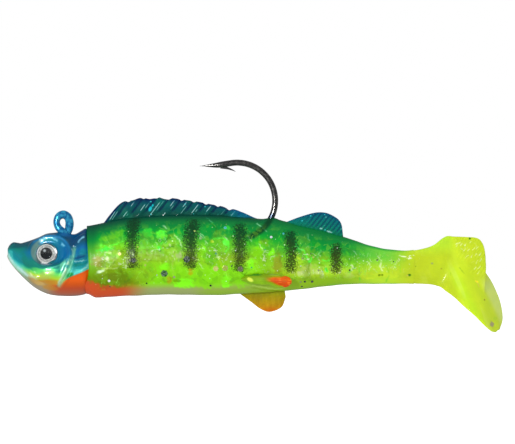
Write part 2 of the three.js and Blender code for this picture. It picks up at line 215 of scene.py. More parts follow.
def touch_up(colour, x, z, patches, lines, rough=0.25):
    """Lays the listed patches and fine lines of colour over the paint."""
    ragged = rough * (1.3 * soft_noise(x, z, 0.5, 71) + soft_noise(x, z, 2, 73))
    for place, size, tilt, share, rgb in patches:
        colour = mix(colour, rgb, share * patch(x, z, *place, *size, tilt, ragged))
    broken = smoothstep(-0.75, -0.1, soft_noise(x, z, 0.8, 75))
    shaken_x = x + 0.11 * soft_noise(x, z, 0.4, 77)
    shaken_z = z + 0.11 * soft_noise(x, z, 0.4, 79)
    for width, share, rgb, *points in lines:
        colour = mix(colour, rgb, share * broken * ridge(shaken_x, shaken_z, points, width))
    return colour


def soft_noise(x, z, size, seed):
    """Smooth noise from -1 to 1 with lumps of about that size, as a sum of crossed waves."""
    waves = np.random.default_rng(seed)
    total = np.zeros(np.shape(x))
    for _ in range(7):
        angle, phase = waves.uniform(0, 2 * math.pi, 2)
        pitch = 2 * math.pi / (size * waves.uniform(1.3, 3))
        total += np.sin(pitch * (x * math.cos(angle) + z * math.sin(angle)) + phase)
    return total / 4


def linear(rgb):
    """Linear colour, 0 to 1, from 0 to 255 screen values."""
    c = np.clip(np.asarray(rgb, float) / 255, 0, 1)
    return np.where(c <= 0.04045, c / 12.92, ((c + 0.055) / 1.055) ** 2.4)


def ramp(value, stops):
    """Colour by value, through (place, (r, g, b)) stops in 0 to 255."""
    places = [s[0] for s in stops]
    return np.stack([np.interp(value, places, [s[1][k] for s in stops]) for k in range(3)], -1)


def mix(a, b, share):
    return a + (np.asarray(b, float) - a) * np.asarray(share)[..., None]


# ---------------------------------------------------------------- meshes


def grid_normals(points):
    """Unit normals of a grid of rows and columns; the columns close round."""
    along = np.gradient(points, axis=0)
    across = (np.roll(points, -1, axis=1) - np.roll(points, 1, axis=1)) / 2
    normal = np.cross(across, along)
    return normal / np.maximum(np.linalg.norm(normal, axis=-1, keepdims=True), 1e-9)


def new_object(name, vertices, faces):
    mesh = bpy.data.meshes.new(name)
    mesh.from_pydata((np.asarray(vertices) * MM).tolist(), [], faces)
    mesh.validate()
    mesh.shade_smooth()
    obj = bpy.data.objects.new(name, mesh)
    bpy.context.collection.objects.link(obj)
    return obj


def tube_mesh(name, points):
    """A closed mesh from a grid whose columns close round, with a fan over each end."""
    rows, cols = points.shape[:2]
    r, c = np.meshgrid(np.arange(rows - 1), np.arange(cols), indexing="ij")
    a, b = r * cols + c, r * cols + (c + 1) % cols
    faces = np.stack([a, a + cols, b + cols, b], -1).reshape(-1, 4).tolist()
    vertices = np.vstack([points.reshape(-1, 3), points[0].mean(0), points[-1].mean(0)])
    first, last = rows * cols, rows * cols + 1
    end = (rows - 1) * cols
    for i in range(cols):
        j = (i + 1) % cols
        faces.append([first, i, j])
        faces.append([last, end + j, end + i])
    obj = new_object(name, vertices, faces)
    sharpen_rings(obj, cols, (0, rows - 1))
    keep_rest(obj)
    return obj


def sharpen_rings(obj, cols, rings):
    """Marks the end rings sharp, so that the end faces don't bend the skin's shading."""
    mesh = obj.data
    ends = np.zeros(len(mesh.edges) * 2, np.int32)
    mesh.edges.foreach_get("vertices", ends)
    ring_of = ends.reshape(-1, 2) // cols
    sharp = (ring_of[:, 0] == ring_of[:, 1]) & np.isin(ring_of[:, 0], rings)
    layer = mesh.attributes.new("sharp_edge", "BOOLEAN", "EDGE")
    layer.data.foreach_set("value", sharp)


def places(obj):
    co = np.zeros(len(obj.data.vertices) * 3)
    obj.data.vertices.foreach_get("co", co)
    return co.reshape(-1, 3) / MM


def keep_rest(obj):
    layer = obj.data.attributes.new("rest", "FLOAT_VECTOR", "POINT")
    layer.data.foreach_set("vector", places(obj).astype(np.float32).ravel())


def set_value(obj, name, values):
    layer = obj.data.attributes.new(name, "FLOAT", "POINT")
    layer.data.foreach_set("value", np.asarray(values, np.float32).ravel())


def set_paint(obj, rgb):
    """Stores the colours to be seen, less the haze that the gloss adds to them in the studio."""
    seen = np.clip(linear(rgb) - GLOSS_HAZE, 0.0005, 1)
    colour = np.concatenate([seen, np.ones((len(rgb), 1))], axis=1)
    layer = obj.data.color_attributes.new("paint", "FLOAT_COLOR", "POINT")
    layer.data.foreach_set("color", colour.astype(np.float32).ravel())


def slab(line, middle, half):
    """A ring along a line of (x, z): out over the face at -Y, back over the face at +Y."""
    left, right = [np.stack([line[:, 0], middle + s * half, line[:, 1]], 1) for s in (-1, 1)]
    return np.vstack([left, right[::-1]])


def sweep(path, radius, sides, flatten=1.0):
    """A grid of rings round a path in 3-D. The frame keeps to the X Z plane's normal."""
    tangent = np.gradient(path, axis=0)
    tangent /= np.linalg.norm(tangent, axis=1, keepdims=True)
    side = np.tile([0.0, 1.0, 0.0], (len(path), 1))
    side -= tangent * (side * tangent).sum(1, keepdims=True)
    side /= np.linalg.norm(side, axis=1, keepdims=True)
    up = np.cross(tangent, side)
    turn = full_turn(sides)[None, :, None]
    radius = np.broadcast_to(radius, len(path))[:, None, None]
    return path[:, None] + radius * (
        flatten * side[:, None] * np.cos(turn) + up[:, None] * np.sin(turn))


# ---------------------------------------------------------------- materials


def new_material(name):
    material = bpy.data.materials.new(name)
    material.use_nodes = True
    tree = material.node_tree
    return material, tree, tree.nodes["Principled BSDF"]


def node(tree, kind, inputs=None, **settings):
    made = tree.nodes.new(kind)
    for key, value in settings.items():
        setattr(made, key, value)
    for key, value in (inputs or {}).items():
        if isinstance(value, bpy.types.NodeSocket):
            tree.links.new(value, made.inputs[key])
        else:
            made.inputs[key].default_value = value
    return made


def calc(tree, operation, *values):
    made = node(tree, "ShaderNodeMath", dict(enumerate(values)), operation=operation)
    return made.outputs[0]


def vector_calc(tree, operation, *values):
    names = dict(enumerate(values))
    if operation == "SCALE":
        names = {0: values[0], "Scale": values[1]}
    return node(tree, "ShaderNodeVectorMath", names, operation=operation).outputs[0]


def mix_colour(tree, share, a, b, blend_type="MIX"):
    a, b = [(*linear(c), 1) if isinstance(c, tuple) else c for c in (a, b)]
    made = node(tree, "ShaderNodeMix", {0: share, 6: a, 7: b}, data_type="RGBA",
                blend_type=blend_type)
    return made.outputs[2]


def tint(tree, colour, rgb, share, most, blend_type="MIX"):
    """The colour with another laid over it, by the share and never by more than most."""
    return mix_colour(tree, calc(tree, "MULTIPLY", share, most), colour, rgb, blend_type)


def remap(tree, value, low, high, to_low=0.0, to_high=1.0):
    made = node(tree, "ShaderNodeMapRange", {0: value, 1: low, 2: high, 3: to_low, 4: to_high},
                interpolation_type="SMOOTHSTEP")
    return made.outputs[0]


def attribute(tree, name):
    return node(tree, "ShaderNodeAttribute", attribute_name=name).outputs


def rest_place(tree):
    return attribute(tree, "rest")["Vector"]


def parts(tree, value, kind="XYZ"):
    return node(tree, "ShaderNodeSeparate" + kind, {0: value}).outputs


def gap(tree, place, centre):
    """How far the place is from the centre, in millimetres."""
    return node(tree, "ShaderNodeVectorMath", {0: place, 1: centre},
                operation="DISTANCE").outputs["Value"]


def noise(tree, place, scale, detail=2.0):
    made = node(tree, "ShaderNodeTexNoise", {"Vector": place, "Scale": scale, "Detail": detail})
    return made.outputs


def cells(tree, place, scale, feature="F1"):
    return node(tree, "ShaderNodeTexVoronoi", {"Vector": place, "Scale": scale},
                feature=feature).outputs


def sparks(tree, place, scale, picked, size):
    """Round dots in a few of the cells; picked and size are the ranges over which they fade in."""
    found = cells(tree, place, scale)
    lot = parts(tree, found["Color"], "Color")[0]
    return calc(tree, "MULTIPLY", remap(tree, lot, *picked), remap(tree, found["Distance"], *size))


def crinkled(tree, place):
    """The place, pushed about by noise, so that cells lose their straight edges."""
    push = vector_calc(tree, "SUBTRACT", noise(tree, place, 0.5)["Color"], (0.5, 0.5, 0.5))
    return vector_calc(tree, "ADD", place, vector_calc(tree, "SCALE", push, 1.6))


def set_gloss(bsdf, roughness, coat=0.0, coat_roughness=0.05, metallic=0.0, specular=0.25):
    bsdf.inputs["Roughness"].default_value = roughness
    bsdf.inputs["Specular IOR Level"].default_value = specular
    bsdf.inputs["Metallic"].default_value = metallic
    bsdf.inputs["Coat Weight"].default_value = coat
    bsdf.inputs["Coat Roughness"].default_value = coat_roughness


def set_depth(bsdf, weight, radius, scale_mm):
    """Light that goes into the soft plastic and comes out near by."""
    bsdf.inputs["Subsurface Weight"].default_value = weight
    bsdf.inputs["Subsurface Radius"].default_value = radius
    bsdf.inputs["Subsurface Scale"].default_value = scale_mm * MM


def fine_bump(tree, bsdf, height, strength, distance_mm, socket="Normal"):
    made = node(tree, "ShaderNodeBump", {
        "Height": height, "Strength": strength, "Distance": distance_mm * MM,
    })
    tree.links.new(made.outputs[0], bsdf.inputs[socket])


def painted_glint_colour(tree, place, painted_glints, colour):
    """Painted highlights: short ragged white glints laid into the colour where the glint attribute is
    high.
    """
    wander = noise(tree, place, 0.85, 1.5)["Fac"]
    off_line = calc(tree, "ABSOLUTE", calc(tree, "SUBTRACT", wander, 0.5))
    glint = calc(tree, "MULTIPLY", remap(tree, off_line, 0.034, 0.012),
                 remap(tree, noise(tree, place, 1.5)["Fac"], 0.5, 0.58))
    return tint(tree, colour, (240, 252, 214), glint, painted_glints)


def foil_skin_material():
    """Clear soft plastic over crinkled bright foil, tinted by the paint attribute, with the foil's
    reflections painted into the colour.
    """
    material, tree, bsdf = new_material("foil_skin")
    place = rest_place(tree)
    foil = attribute(tree, "foil")["Fac"]
    bars = attribute(tree, "bars")["Fac"]
    colour = attribute(tree, "paint")["Color"]

    folds = crinkled(tree, place)
    large, medium, small = [cells(tree, folds, scale)["Color"] for scale in (0.42, 1.1, 2.6)]
    tilt = vector_calc(tree, "ADD", large, vector_calc(tree, "SCALE", medium, 0.8))
    tilt = vector_calc(tree, "ADD", tilt, vector_calc(tree, "SCALE", small, 0.35))
    tilt = vector_calc(tree, "SUBTRACT", tilt, (1.07, 1.07, 1.07))
    tilt = vector_calc(tree, "SCALE", tilt, calc(tree, "MULTIPLY", foil, 0.34))
    normal = node(tree, "ShaderNodeNewGeometry").outputs["Normal"]
    bent = vector_calc(tree, "NORMALIZE", vector_calc(tree, "ADD", normal, tilt))
    tree.links.new(bent, bsdf.inputs["Normal"])

    # Painted light on the foil: lit and dull stretches, highlighted and shaded facets, highlighted
    # crease lines and white glint sparks, each only over foil.
    facet = parts(tree, medium, "Color")
    stretch = noise(tree, folds, 0.33, 3.0)["Fac"]
    edge = cells(tree, folds, 0.42, "DISTANCE_TO_EDGE")["Distance"]
    crease = calc(tree, "MULTIPLY", remap(tree, edge, 0.035, 0.0),
                  remap(tree, noise(tree, place, 0.9)["Fac"], 0.5, 0.62))
    lit = mix_colour(tree, 1.0, colour, (200, 255, 120), "SOFT_LIGHT")
    for share, most, rgb in (
        (remap(tree, stretch, 0.5, 0.72), 0.5, lit),
        (remap(tree, stretch, 0.47, 0.3), 0.22, (120, 130, 30)),
        (remap(tree, facet[0], 0.55, 0.95), 0.2, (150, 240, 40)),
        (remap(tree, facet[1], 0.6, 0.95), 0.22, (45, 110, 25)),
        (crease, 0.4, (170, 250, 90)),
        (sparks(tree, place, 2.1, (0.972, 0.98), (0.34, 0.22)), 0.7, (225, 250, 205)),
    ):
        colour = tint(tree, colour, rgb, calc(tree, "MULTIPLY", share, foil), most)
    # painted highlights: white glints over the foil
    colour = painted_glint_colour(tree, place, attribute(tree, "painted_glints")["Fac"], colour)

    height = parts(tree, place)[2]
    ink_colour = mix_colour(tree, remap(tree, height, -2.5, -8.0), (10, 50, 28), (40, 50, 14))
    grain = noise(tree, place, 4.6, 3.0)["Fac"]
    ink = calc(tree, "ADD", grain, calc(tree, "MULTIPLY", bars, 0.62))
    colour = tint(tree, colour, ink_colour, remap(tree, ink, 0.83, 1.06), 0.92)
    tree.links.new(colour, bsdf.inputs["Base Color"])

    fine_bump(tree, bsdf, noise(tree, place, 1.9, 3.0)["Fac"], 0.5, 0.22, "Coat Normal")
    shine = calc(tree, "MULTIPLY", foil, calc(tree, "SUBTRACT", 1.0, bars))
    set_gloss(bsdf, 0.36, coat=0.3, coat_roughness=0.06, specular=0.06)
    tree.links.new(calc(tree, "MULTIPLY", shine, 0.12), bsdf.inputs["Metallic"])
    return material


def soft_plastic_material(name, mottle, subsurface):
    """Translucent soft plastic, tinted by the paint attribute, with faint clouds in it and painted
    white glints.
    """
    material, tree, bsdf = new_material(name)
    place = rest_place(tree)
    colour = attribute(tree, "paint")["Color"]
    cloud = remap(tree, noise(tree, place, 0.5, 3.0)["Fac"], 0.4, 0.68)
    colour = tint(tree, colour, (255, 255, 180), cloud, mottle, "SOFT_LIGHT")
    # painted highlights: white glints
    colour = painted_glint_colour(tree, place, attribute(tree, "painted_glints")["Fac"], colour)
    tree.links.new(colour, bsdf.inputs["Base Color"])
    set_gloss(bsdf, 0.36, coat=0.22, coat_roughness=0.1, specular=0.1)
    set_depth(bsdf, subsurface, (1.0, 0.9, 0.3), 1.2)
    fine_bump(tree, bsdf, noise(tree, place, 1.4, 3.0)["Fac"], 0.25, 0.15)
    return material


def fin_material():
    """Thin translucent fin: paint, tiny bright specks and a wet gloss."""
    material, tree, bsdf = new_material("dorsal_fin_plastic")
    place = rest_place(tree)
    colour = attribute(tree, "paint")["Color"]
    specks = sparks(tree, place, 1.7, (0.93, 0.95), (0.3, 0.2))
    colour = tint(tree, colour, (60, 220, 220), specks, 0.6)
    tree.links.new(colour, bsdf.inputs["Base Color"])
    set_gloss(bsdf, 0.4, coat=0.15, specular=0.06)
    set_depth(bsdf, 0.15, (0.3, 0.9, 0.9), 0.6)
    fine_bump(tree, bsdf, noise(tree, place, 2.2, 3.0)["Fac"], 0.3, 0.12)
    return material


def head_paint_material():
    """Pearl paint on a smooth casting under clear lacquer."""
    material, tree, bsdf = new_material("head_pearl_paint")
    place = rest_place(tree)
    colour = attribute(tree, "paint")["Color"]
    pearl = noise(tree, place, 6.0)["Fac"]
    colour = mix_colour(tree, remap(tree, pearl, 0.55, 0.8, 0.0, 0.25), colour, (235, 250, 250),
                        "SOFT_LIGHT")
    tree.links.new(colour, bsdf.inputs["Base Color"])
    set_gloss(bsdf, 0.3, coat=0.5, metallic=0.22)
    fine_bump(tree, bsdf, noise(tree, place, 1.1, 3.0)["Fac"], 0.2, 0.2)
    return material


def hook_material():
    """Black nickel wire with the head's blue paint on the eye and a stain where it leaves."""
    material, tree, bsdf = new_material("black_nickel_wire")
    place = rest_place(tree)
    along, _, height = parts(tree, place)
    painted = remap(tree, along, 3.4, 3.0)
    stained = calc(tree, "MULTIPLY", remap(tree, height, 2.1, 1.2), remap(tree, along, 39.0, 40.0))
    wear = noise(tree, place, 1.6, 4.0)["Fac"]
    metal = mix_colour(tree, remap(tree, wear, 0.35, 0.75), (84, 84, 84), (140, 138, 134))
    colour = tint(tree, metal, (14, 52, 82), stained, 0.75)
    blue = mix_colour(tree, remap(tree, wear, 0.35, 0.7), (14, 104, 164), (60, 176, 214))
    worn = remap(tree, gap(tree, place, (-0.1, 0.0, 0.55)), 0.62, 0.38)
    blue = mix_colour(tree, worn, blue, (150, 146, 84))
    colour = mix_colour(tree, painted, colour, blue)
    tree.links.new(colour, bsdf.inputs["Base Color"])
    set_gloss(bsdf, 0.22, coat=0.35)
    tree.links.new(remap(tree, painted, 0.0, 1.0, 0.95, 0.4), bsdf.inputs["Metallic"])
    fine_bump(tree, bsdf, noise(tree, place, 2.6, 3.0)["Fac"], 0.12, 0.1)
    return material


def eye_print_material():
    """Printed foil: black pupil with a painted catchlight highlight, silver iris with a fine dark
    ring, dark rim.
    """
    material, tree, bsdf = new_material("eye_print")
    place = rest_place(tree)
    flat = vector_calc(tree, "MULTIPLY", place, (1, 0, 1))
    away = gap(tree, flat, (FISH_EYE_X - 0.05, 0, FISH_EYE_Z + 0.06))
    grain = noise(tree, place, 2.4, 3.0)["Fac"]
    silver = mix_colour(tree, remap(tree, grain, 0.35, 0.7), (176, 176, 174), (238, 238, 234))
    colour = silver
    for start, full, rgb in (
        (1.14, 1.02, (26, 29, 33)), (1.42, 1.47, (128, 128, 126)),
        (1.51, 1.56, (244, 244, 240)), (1.86, 2.06, (150, 152, 152)),
    ):
        colour = mix_colour(tree, remap(tree, away, start, full), colour, rgb)
    # painted highlight: the catchlight on the pupil
    glint = gap(tree, flat, (FISH_EYE_X - 0.35, 0, FISH_EYE_Z + 0.55))
    colour = tint(tree, colour, (214, 220, 224), remap(tree, glint, 0.34, 0.12), 0.75)
    tree.links.new(colour, bsdf.inputs["Base Color"])
    set_gloss(bsdf, 0.3, specular=0.0)
    tree.links.new(remap(tree, away, 1.05, 1.2, 0.0, 0.12), bsdf.inputs["Metallic"])
    return material


def clear_dome_material():
    """Clear resin cap; fine ripples keep its highlights from being a perfect ball's."""
    material, tree, bsdf = new_material("eye_resin")
    bsdf.inputs["Base Color"].default_value = (0.96, 0.98, 0.98, 1)
    bsdf.inputs["Transmission Weight"].default_value = 1.0
    bsdf.inputs["IOR"].default_value = 1.3
    set_gloss(bsdf, 0.02)
    fine_bump(tree, bsdf, noise(tree, rest_place(tree), 0.5)["Fac"], 0.04, 0.04)
    return material


def bright_foil_material():
    """The sheet inside the body: crumpled silver with a faint colour play."""
    material, tree, bsdf = new_material("crinkled_foil")
    place = rest_place(tree)
    play = cells(tree, crinkled(tree, place), 0.8)["Color"]
    colour = mix_colour(tree, 0.12, (222, 224, 220), play)
    tree.links.new(colour, bsdf.inputs["Base Color"])
    set_gloss(bsdf, 0.18, metallic=1.0)
    return material


def flake_material():
    """Cut glitter, coloured flake by flake, with lighter patches painted on as shimmer."""
    material, tree, bsdf = new_material("hex_glitter")
    colour = attribute(tree, "paint")["Color"]
    shimmer = noise(tree, rest_place(tree), 4.0)["Fac"]
    # painted highlight: lighter shimmer patches on the flakes
    colour = mix_colour(tree, remap(tree, shimmer, 0.4, 0.7, 0.0, 0.2), colour, (255, 255, 255))
    tree.links.new(colour, bsdf.inputs["Base Color"])
    set_gloss(bsdf, 0.25, coat=0.6, metallic=0.3)
    return material


# ---------------------------------------------------------------- what shows in the body

# Paints and foil tints, as screen colours, for the head, body and tail. The GLINT and LIT ones are
# colours of painted highlights; the tables below also use others for painted highlights and shade.
NAVY, BLUE, SKY = (25, 70, 120), (20, 110, 170), (150, 225, 250)
SLATE, TEAL, JADE, AQUA = (40, 85, 100), (20, 140, 150), (10, 130, 115), (90, 210, 195)
ICE, MINT, SEA_GLINT = (190, 230, 225), (205, 235, 195), (150, 220, 170)
WHITE_GLINT, PALE_GLINT, PEARL = (240, 250, 205), (215, 230, 180), (165, 155, 130)
LIT_GREEN, LIT_LIME, SPRING = (95, 250, 70), (130, 250, 40), (65, 215, 60)
LIME, LEAF, MOSS, OLIVE = (130, 215, 35), (105, 190, 45), (135, 180, 40), (105, 135, 20)
EMERALD, FOREST, DARK_GREEN, PINE = (30, 150, 60), (20, 115, 60), (40, 105, 30), (5, 70, 60)
CHARTREUSE, PALE_LIME, STRAW = (200, 225, 50), (180, 220, 55), (180, 205, 100)
YELLOW, GOLD, BRONZE, SAGE = (250, 240, 50), (190, 160, 30), (150, 140, 45), (150, 165, 100)
APPLE, AMBER, SAND = (110, 230, 110), (200, 140, 45), (215, 185, 110)
KEY_LIME, GRASS, STEEL = (185, 205, 45), (110, 200, 65), (110, 150, 145)
ORANGE, RUST, BRICK = (240, 100, 12), (195, 80, 45), (175, 105, 80)

# Patches of the foil under the skin, its colour with painted highlights and painted shade where its
# crinkles catch or miss the light: place, half sizes, tilt in degrees, share, colour.
BODY_PATCHES = [
    ((10.6, -3.0), (2.7, 0.9), 18, 0.65, LEAF),
    ((9.4, -5.6), (1.8, 0.5), 8, 0.9, SPRING),
    ((9.4, -6.9), (2.4, 0.7), 0, 0.6, LEAF),
    ((7.6, -8.2), (1.2, 1.3), 0, 0.75, BRONZE),
    ((10.8, -8.6), (1.7, 1.2), 0, 0.5, MOSS),
    ((10.4, -11.6), (4.3, 1.5), -3, 0.9, OLIVE),
    ((8.0, -10.2), (0.9, 0.35), 15, 0.9, MINT),
    ((9.5, -7.6), (0.5, 0.4), 0, 0.85, PALE_GLINT),
    ((13.6, -8.2), (0.3, 0.3), 0, 0.8, PALE_GLINT),
    ((17.6, -2.2), (1.2, 1.1), 0, 0.75, SPRING),
    ((20.6, -2.7), (0.95, 0.9), 0, 0.95, LIT_GREEN),
    ((22.4, -5.2), (2.0, 2.3), 0, 0.6, MOSS),
    ((20.2, -5.4), (0.35, 0.35), 0, 0.8, SPRING),
    ((20.3, -5.9), (0.3, 0.3), 0, 0.7, DARK_GREEN),
    ((18.2, -6.9), (2.7, 1.0), 0, 0.75, MOSS),
    ((24.3, -7.0), (0.7, 0.7), 0, 0.7, SAGE),
    ((16.8, -10.8), (2.6, 1.8), 0, 0.6, MOSS),
    ((21.2, -9.1), (0.9, 0.7), 10, 0.8, LIT_LIME),
    ((22.2, -11.9), (0.6, 0.8), 0, 0.7, GOLD),
    ((25.3, -12.5), (2.5, 1.05), 3, 0.95, LIT_LIME),
    ((23.6, -12.1), (0.7, 0.35), 0, 0.6, OLIVE),
    ((26.6, -10.3), (0.7, 0.7), 0, 0.7, GOLD),
    ((30.1, -2.0), (1.8, 1.7), 0, 0.75, EMERALD),
    ((28.7, -6.9), (1.2, 1.5), 0, 0.7, LIME),
    ((30.5, -7.3), (1.4, 1.4), 0, 0.85, LEAF),
    ((32.6, -4.2), (1.9, 1.2), 0, 0.7, LEAF),
    ((33.8, -4.3), (0.55, 0.75), 20, 0.95, LIT_GREEN),
    ((31.0, -4.1), (0.35, 0.35), 0, 0.9, CHARTREUSE),
    ((34.1, -1.3), (0.6, 0.5), 0, 0.7, SPRING),
    ((29.5, -12.3), (2.3, 1.5), 0, 0.85, LIME),
    ((33.9, -12.3), (1.0, 1.4), 0, 0.95, LIT_LIME),
    ((31.9, -12.9), (0.8, 0.9), 0, 0.6, LIME),
    ((37.0, -12.2), (1.6, 1.3), 0, 0.7, LIME),
    ((40.2, -6.4), (1.1, 2.3), -12, 0.85, LIME),
    ((38.9, -8.6), (0.7, 1.1), 0, 0.7, LIT_LIME),
    ((43.1, -6.3), (0.5, 1.0), -28, 0.95, LIT_LIME),
    ((41.6, -4.3), (1.4, 0.8), 0, 0.6, MOSS),
    ((44.4, -8.7), (1.2, 1.9), 0, 0.6, BRONZE),
    ((48.6, -8.4), (0.9, 2.1), 0, 0.6, PALE_LIME),
    ((50.9, -10.0), (2.7, 1.2), 0, 0.75, STRAW),
    ((50.4, -6.6), (1.1, 1.0), -20, 0.6, LEAF),
    ((53.6, -7.3), (1.1, 0.9), 0, 0.6, MOSS),
    ((48.9, -10.7), (0.9, 0.5), 20, 0.5, PALE_GLINT),
    ((53.0, -10.6), (1.0, 0.45), -20, 0.5, PALE_GLINT),
    ((53.4, -11.2), (0.5, 0.4), 0, 0.6, SAGE),
    ((54.2, -9.9), (0.4, 0.4), 0, 0.85, SPRING),
    ((58.8, -8.0), (1.4, 1.5), 0, 0.5, LEAF),
    ((59.0, -10.9), (1.2, 0.8), 0, 0.6, STRAW),
    ((63.4, -11.2), (2.4, 0.7), 0, 0.6, CHARTREUSE),
    ((67.4, -10.9), (1.9, 0.9), 0, 0.5, CHARTREUSE),
    ((65.2, -11.0), (0.22, 0.2), 0, 0.85, OLIVE),
    ((65.8, -11.0), (0.2, 0.2), 0, 0.85, OLIVE),
    ((70.3, -7.2), (0.7, 0.14), -8, 0.9, WHITE_GLINT),
    ((71.4, -7.5), (0.8, 0.12), 4, 0.9, WHITE_GLINT),
    ((72.4, -7.0), (0.35, 0.1), -30, 0.9, WHITE_GLINT),
    ((69.5, -7.0), (0.3, 0.1), 20, 0.8, WHITE_GLINT),
]

# Creases and lit scale edges, painted as highlights and shade: half width, share, colour, points.
BODY_LINES = [
    (0.10, 0.8, LIT_GREEN, (8.2, -5.0), (11.4, -4.6), (13.7, -3.4)),
    (0.13, 0.9, LIT_GREEN, (21.0, -1.9), (21.7, -2.7), (21.5, -3.6), (20.5, -4.6)),
    (0.10, 0.7, DARK_GREEN, (21.3, -2.2), (21.9, -2.9), (21.7, -3.8)),
    (0.10, 0.75, MINT, (20.8, -0.8), (21.6, -1.4)),
    (0.12, 0.75, MINT, (23.1, -2.7), (24.2, -3.8), (24.8, -5.2)),
    (0.12, 0.7, DARK_GREEN, (21.6, -5.3), (23.1, -5.1)),
    (0.11, 0.55, OLIVE, (15.8, -5.9), (18.2, -5.8), (20.7, -5.9)),
    (0.11, 0.6, OLIVE, (15.8, -7.0), (18.6, -6.9), (20.4, -7.0)),
    (0.11, 0.6, OLIVE, (15.6, -8.0), (18.0, -7.9), (20.9, -8.1)),
    (0.10, 0.7, PALE_GLINT, (9.0, -6.4), (10.3, -6.3)),
    (0.09, 0.7, MINT, (12.0, -7.6), (13.3, -7.4), (13.8, -7.9)),
    (0.09, 0.6, PALE_GLINT, (9.2, -8.9), (12.0, -8.8), (13.4, -9.1)),
    (0.09, 0.5, PALE_GLINT, (8.8, -9.6), (11.6, -9.5)),
    (0.09, 0.5, STRAW, (22.9, -8.5), (23.1, -11.3)),
    (0.10, 0.7, MINT, (25.6, -0.9), (26.6, -2.2)),
    (0.10, 0.7, MINT, (28.1, -2.5), (29.2, -3.5), (29.9, -4.4)),
    (0.09, 0.6, MINT, (28.6, -2.4), (29.5, -3.3)),
    (0.10, 0.6, DARK_GREEN, (30.9, -0.5), (31.7, -1.6), (31.6, -3.2)),
    (0.09, 0.6, SEA_GLINT, (29.9, 0.7), (31.0, -0.2)),
    (0.13, 0.9, LIT_GREEN, (31.3, -3.6), (33.0, -3.4), (34.3, -4.1), (34.3, -5.3), (33.6, -6.3)),
    (0.10, 0.7, MINT, (33.2, -2.9), (34.1, -3.7)),
    (0.13, 0.8, LIT_LIME, (29.2, -5.0), (29.6, -5.8), (29.0, -6.6)),
    (0.12, 0.8, MINT, (31.4, -5.6), (31.9, -6.5), (32.0, -7.4)),
    (0.10, 0.5, DARK_GREEN, (29.1, -7.0), (29.6, -8.4), (31.0, -8.7), (31.9, -7.8)),
    (0.10, 0.6, CHARTREUSE, (32.6, -8.2), (33.1, -9.6)),
    (0.09, 0.6, MINT, (28.4, -8.6), (29.0, -9.6)),
    (0.10, 0.6, MINT, (37.1, -6.0), (37.0, -7.2)),
    (0.11, 0.7, MINT, (40.6, -4.6), (41.4, -6.4), (41.7, -8.1)),
    (0.10, 0.6, DARK_GREEN, (38.6, -4.0), (38.9, -5.6), (38.2, -7.2)),
    (0.10, 0.75, MINT, (38.2, -2.9), (38.9, -3.9)),
    (0.10, 0.8, SEA_GLINT, (40.1, -0.4), (41.1, -1.2), (42.0, -2.0)),
    (0.10, 0.7, LIT_LIME, (44.3, -5.1), (45.4, -5.2)),
    (0.13, 0.95, APPLE, (47.8, -5.0), (48.6, -5.5), (49.8, -5.9)),
    (0.15, 1.0, LIT_GREEN, (49.5, -5.7), (50.3, -7.2), (50.8, -8.2), (51.3, -7.4)),
    (0.14, 1.0, APPLE, (52.4, -7.3), (52.8, -6.5), (53.1, -6.0)),
    (0.13, 0.95, LIT_GREEN, (53.5, -7.8), (54.3, -8.1), (55.2, -7.6)),
    (0.13, 0.95, CHARTREUSE, (47.6, -6.9), (48.9, -7.7)),
    (0.12, 0.9, LIT_GREEN, (53.8, -10.4), (54.7, -10.2)),
    (0.10, 0.6, PALE_LIME, (47.6, -7.1), (48.9, -7.8)),
    (0.09, 0.6, STRAW, (50.8, -8.4), (48.6, -9.4)),
    (0.09, 0.6, STRAW, (50.9, -8.5), (52.4, -9.6), (54.0, -10.2)),
    (0.09, 0.5, OLIVE, (50.8, -8.6), (50.4, -10.4)),
    (0.09, 0.5, OLIVE, (51.0, -8.5), (53.6, -9.0)),
    (0.10, 0.6, SEA_GLINT, (50.4, -2.6), (50.8, -3.8)),
    (0.11, 0.6, EMERALD, (60.0, -5.9), (60.4, -7.6), (60.1, -9.4), (58.8, -10.4)),
    (0.10, 0.55, SPRING, (61.0, -9.6), (61.2, -12.2)),
    (0.13, 0.7, WHITE_GLINT, (59.6, -8.8), (59.5, -10.0)),
    (0.11, 0.6, PALE_GLINT, (57.4, -9.5), (57.0, -10.6)),
    (0.10, 0.6, MINT, (59.9, -6.0), (60.5, -6.8)),
    (0.13, 0.7, WHITE_GLINT, (63.2, -8.5), (63.1, -9.8)),
    (0.12, 0.6, PALE_GLINT, (64.0, -9.8), (64.7, -10.3)),
    (0.15, 0.85, WHITE_GLINT, (65.6, -8.1), (65.4, -9.2), (65.8, -10.0)),
    (0.11, 0.55, STRAW, (64.4, -8.0), (65.4, -7.0)),
    (0.11, 0.55, STRAW, (66.8, -6.8), (67.6, -7.2), (67.7, -8.4)),
    (0.11, 0.6, PALE_GLINT, (67.6, -9.6), (68.6, -8.6), (69.4, -7.6)),
    (0.10, 0.5, LEAF, (66.6, -9.0), (67.2, -10.8), (66.6, -12.4)),
    (0.10, 0.5, LIME, (69.4, -8.8), (69.6, -10.4)),
    (0.10, 0.5, LEAF, (54.6, -12.9), (62.0, -12.8), (69.0, -12.8)),
    (0.14, 0.75, OLIVE, (37.6, -11.1), (38.9, -10.8), (40.4, -10.6)),
    (0.12, 0.7, STRAW, (39.2, -13.0), (41.4, -13.5), (44.2, -13.9), (45.8, -13.6)),
    (0.12, 0.5, OLIVE, (39.0, -13.5), (42.0, -14.1), (44.6, -14.3)),
]
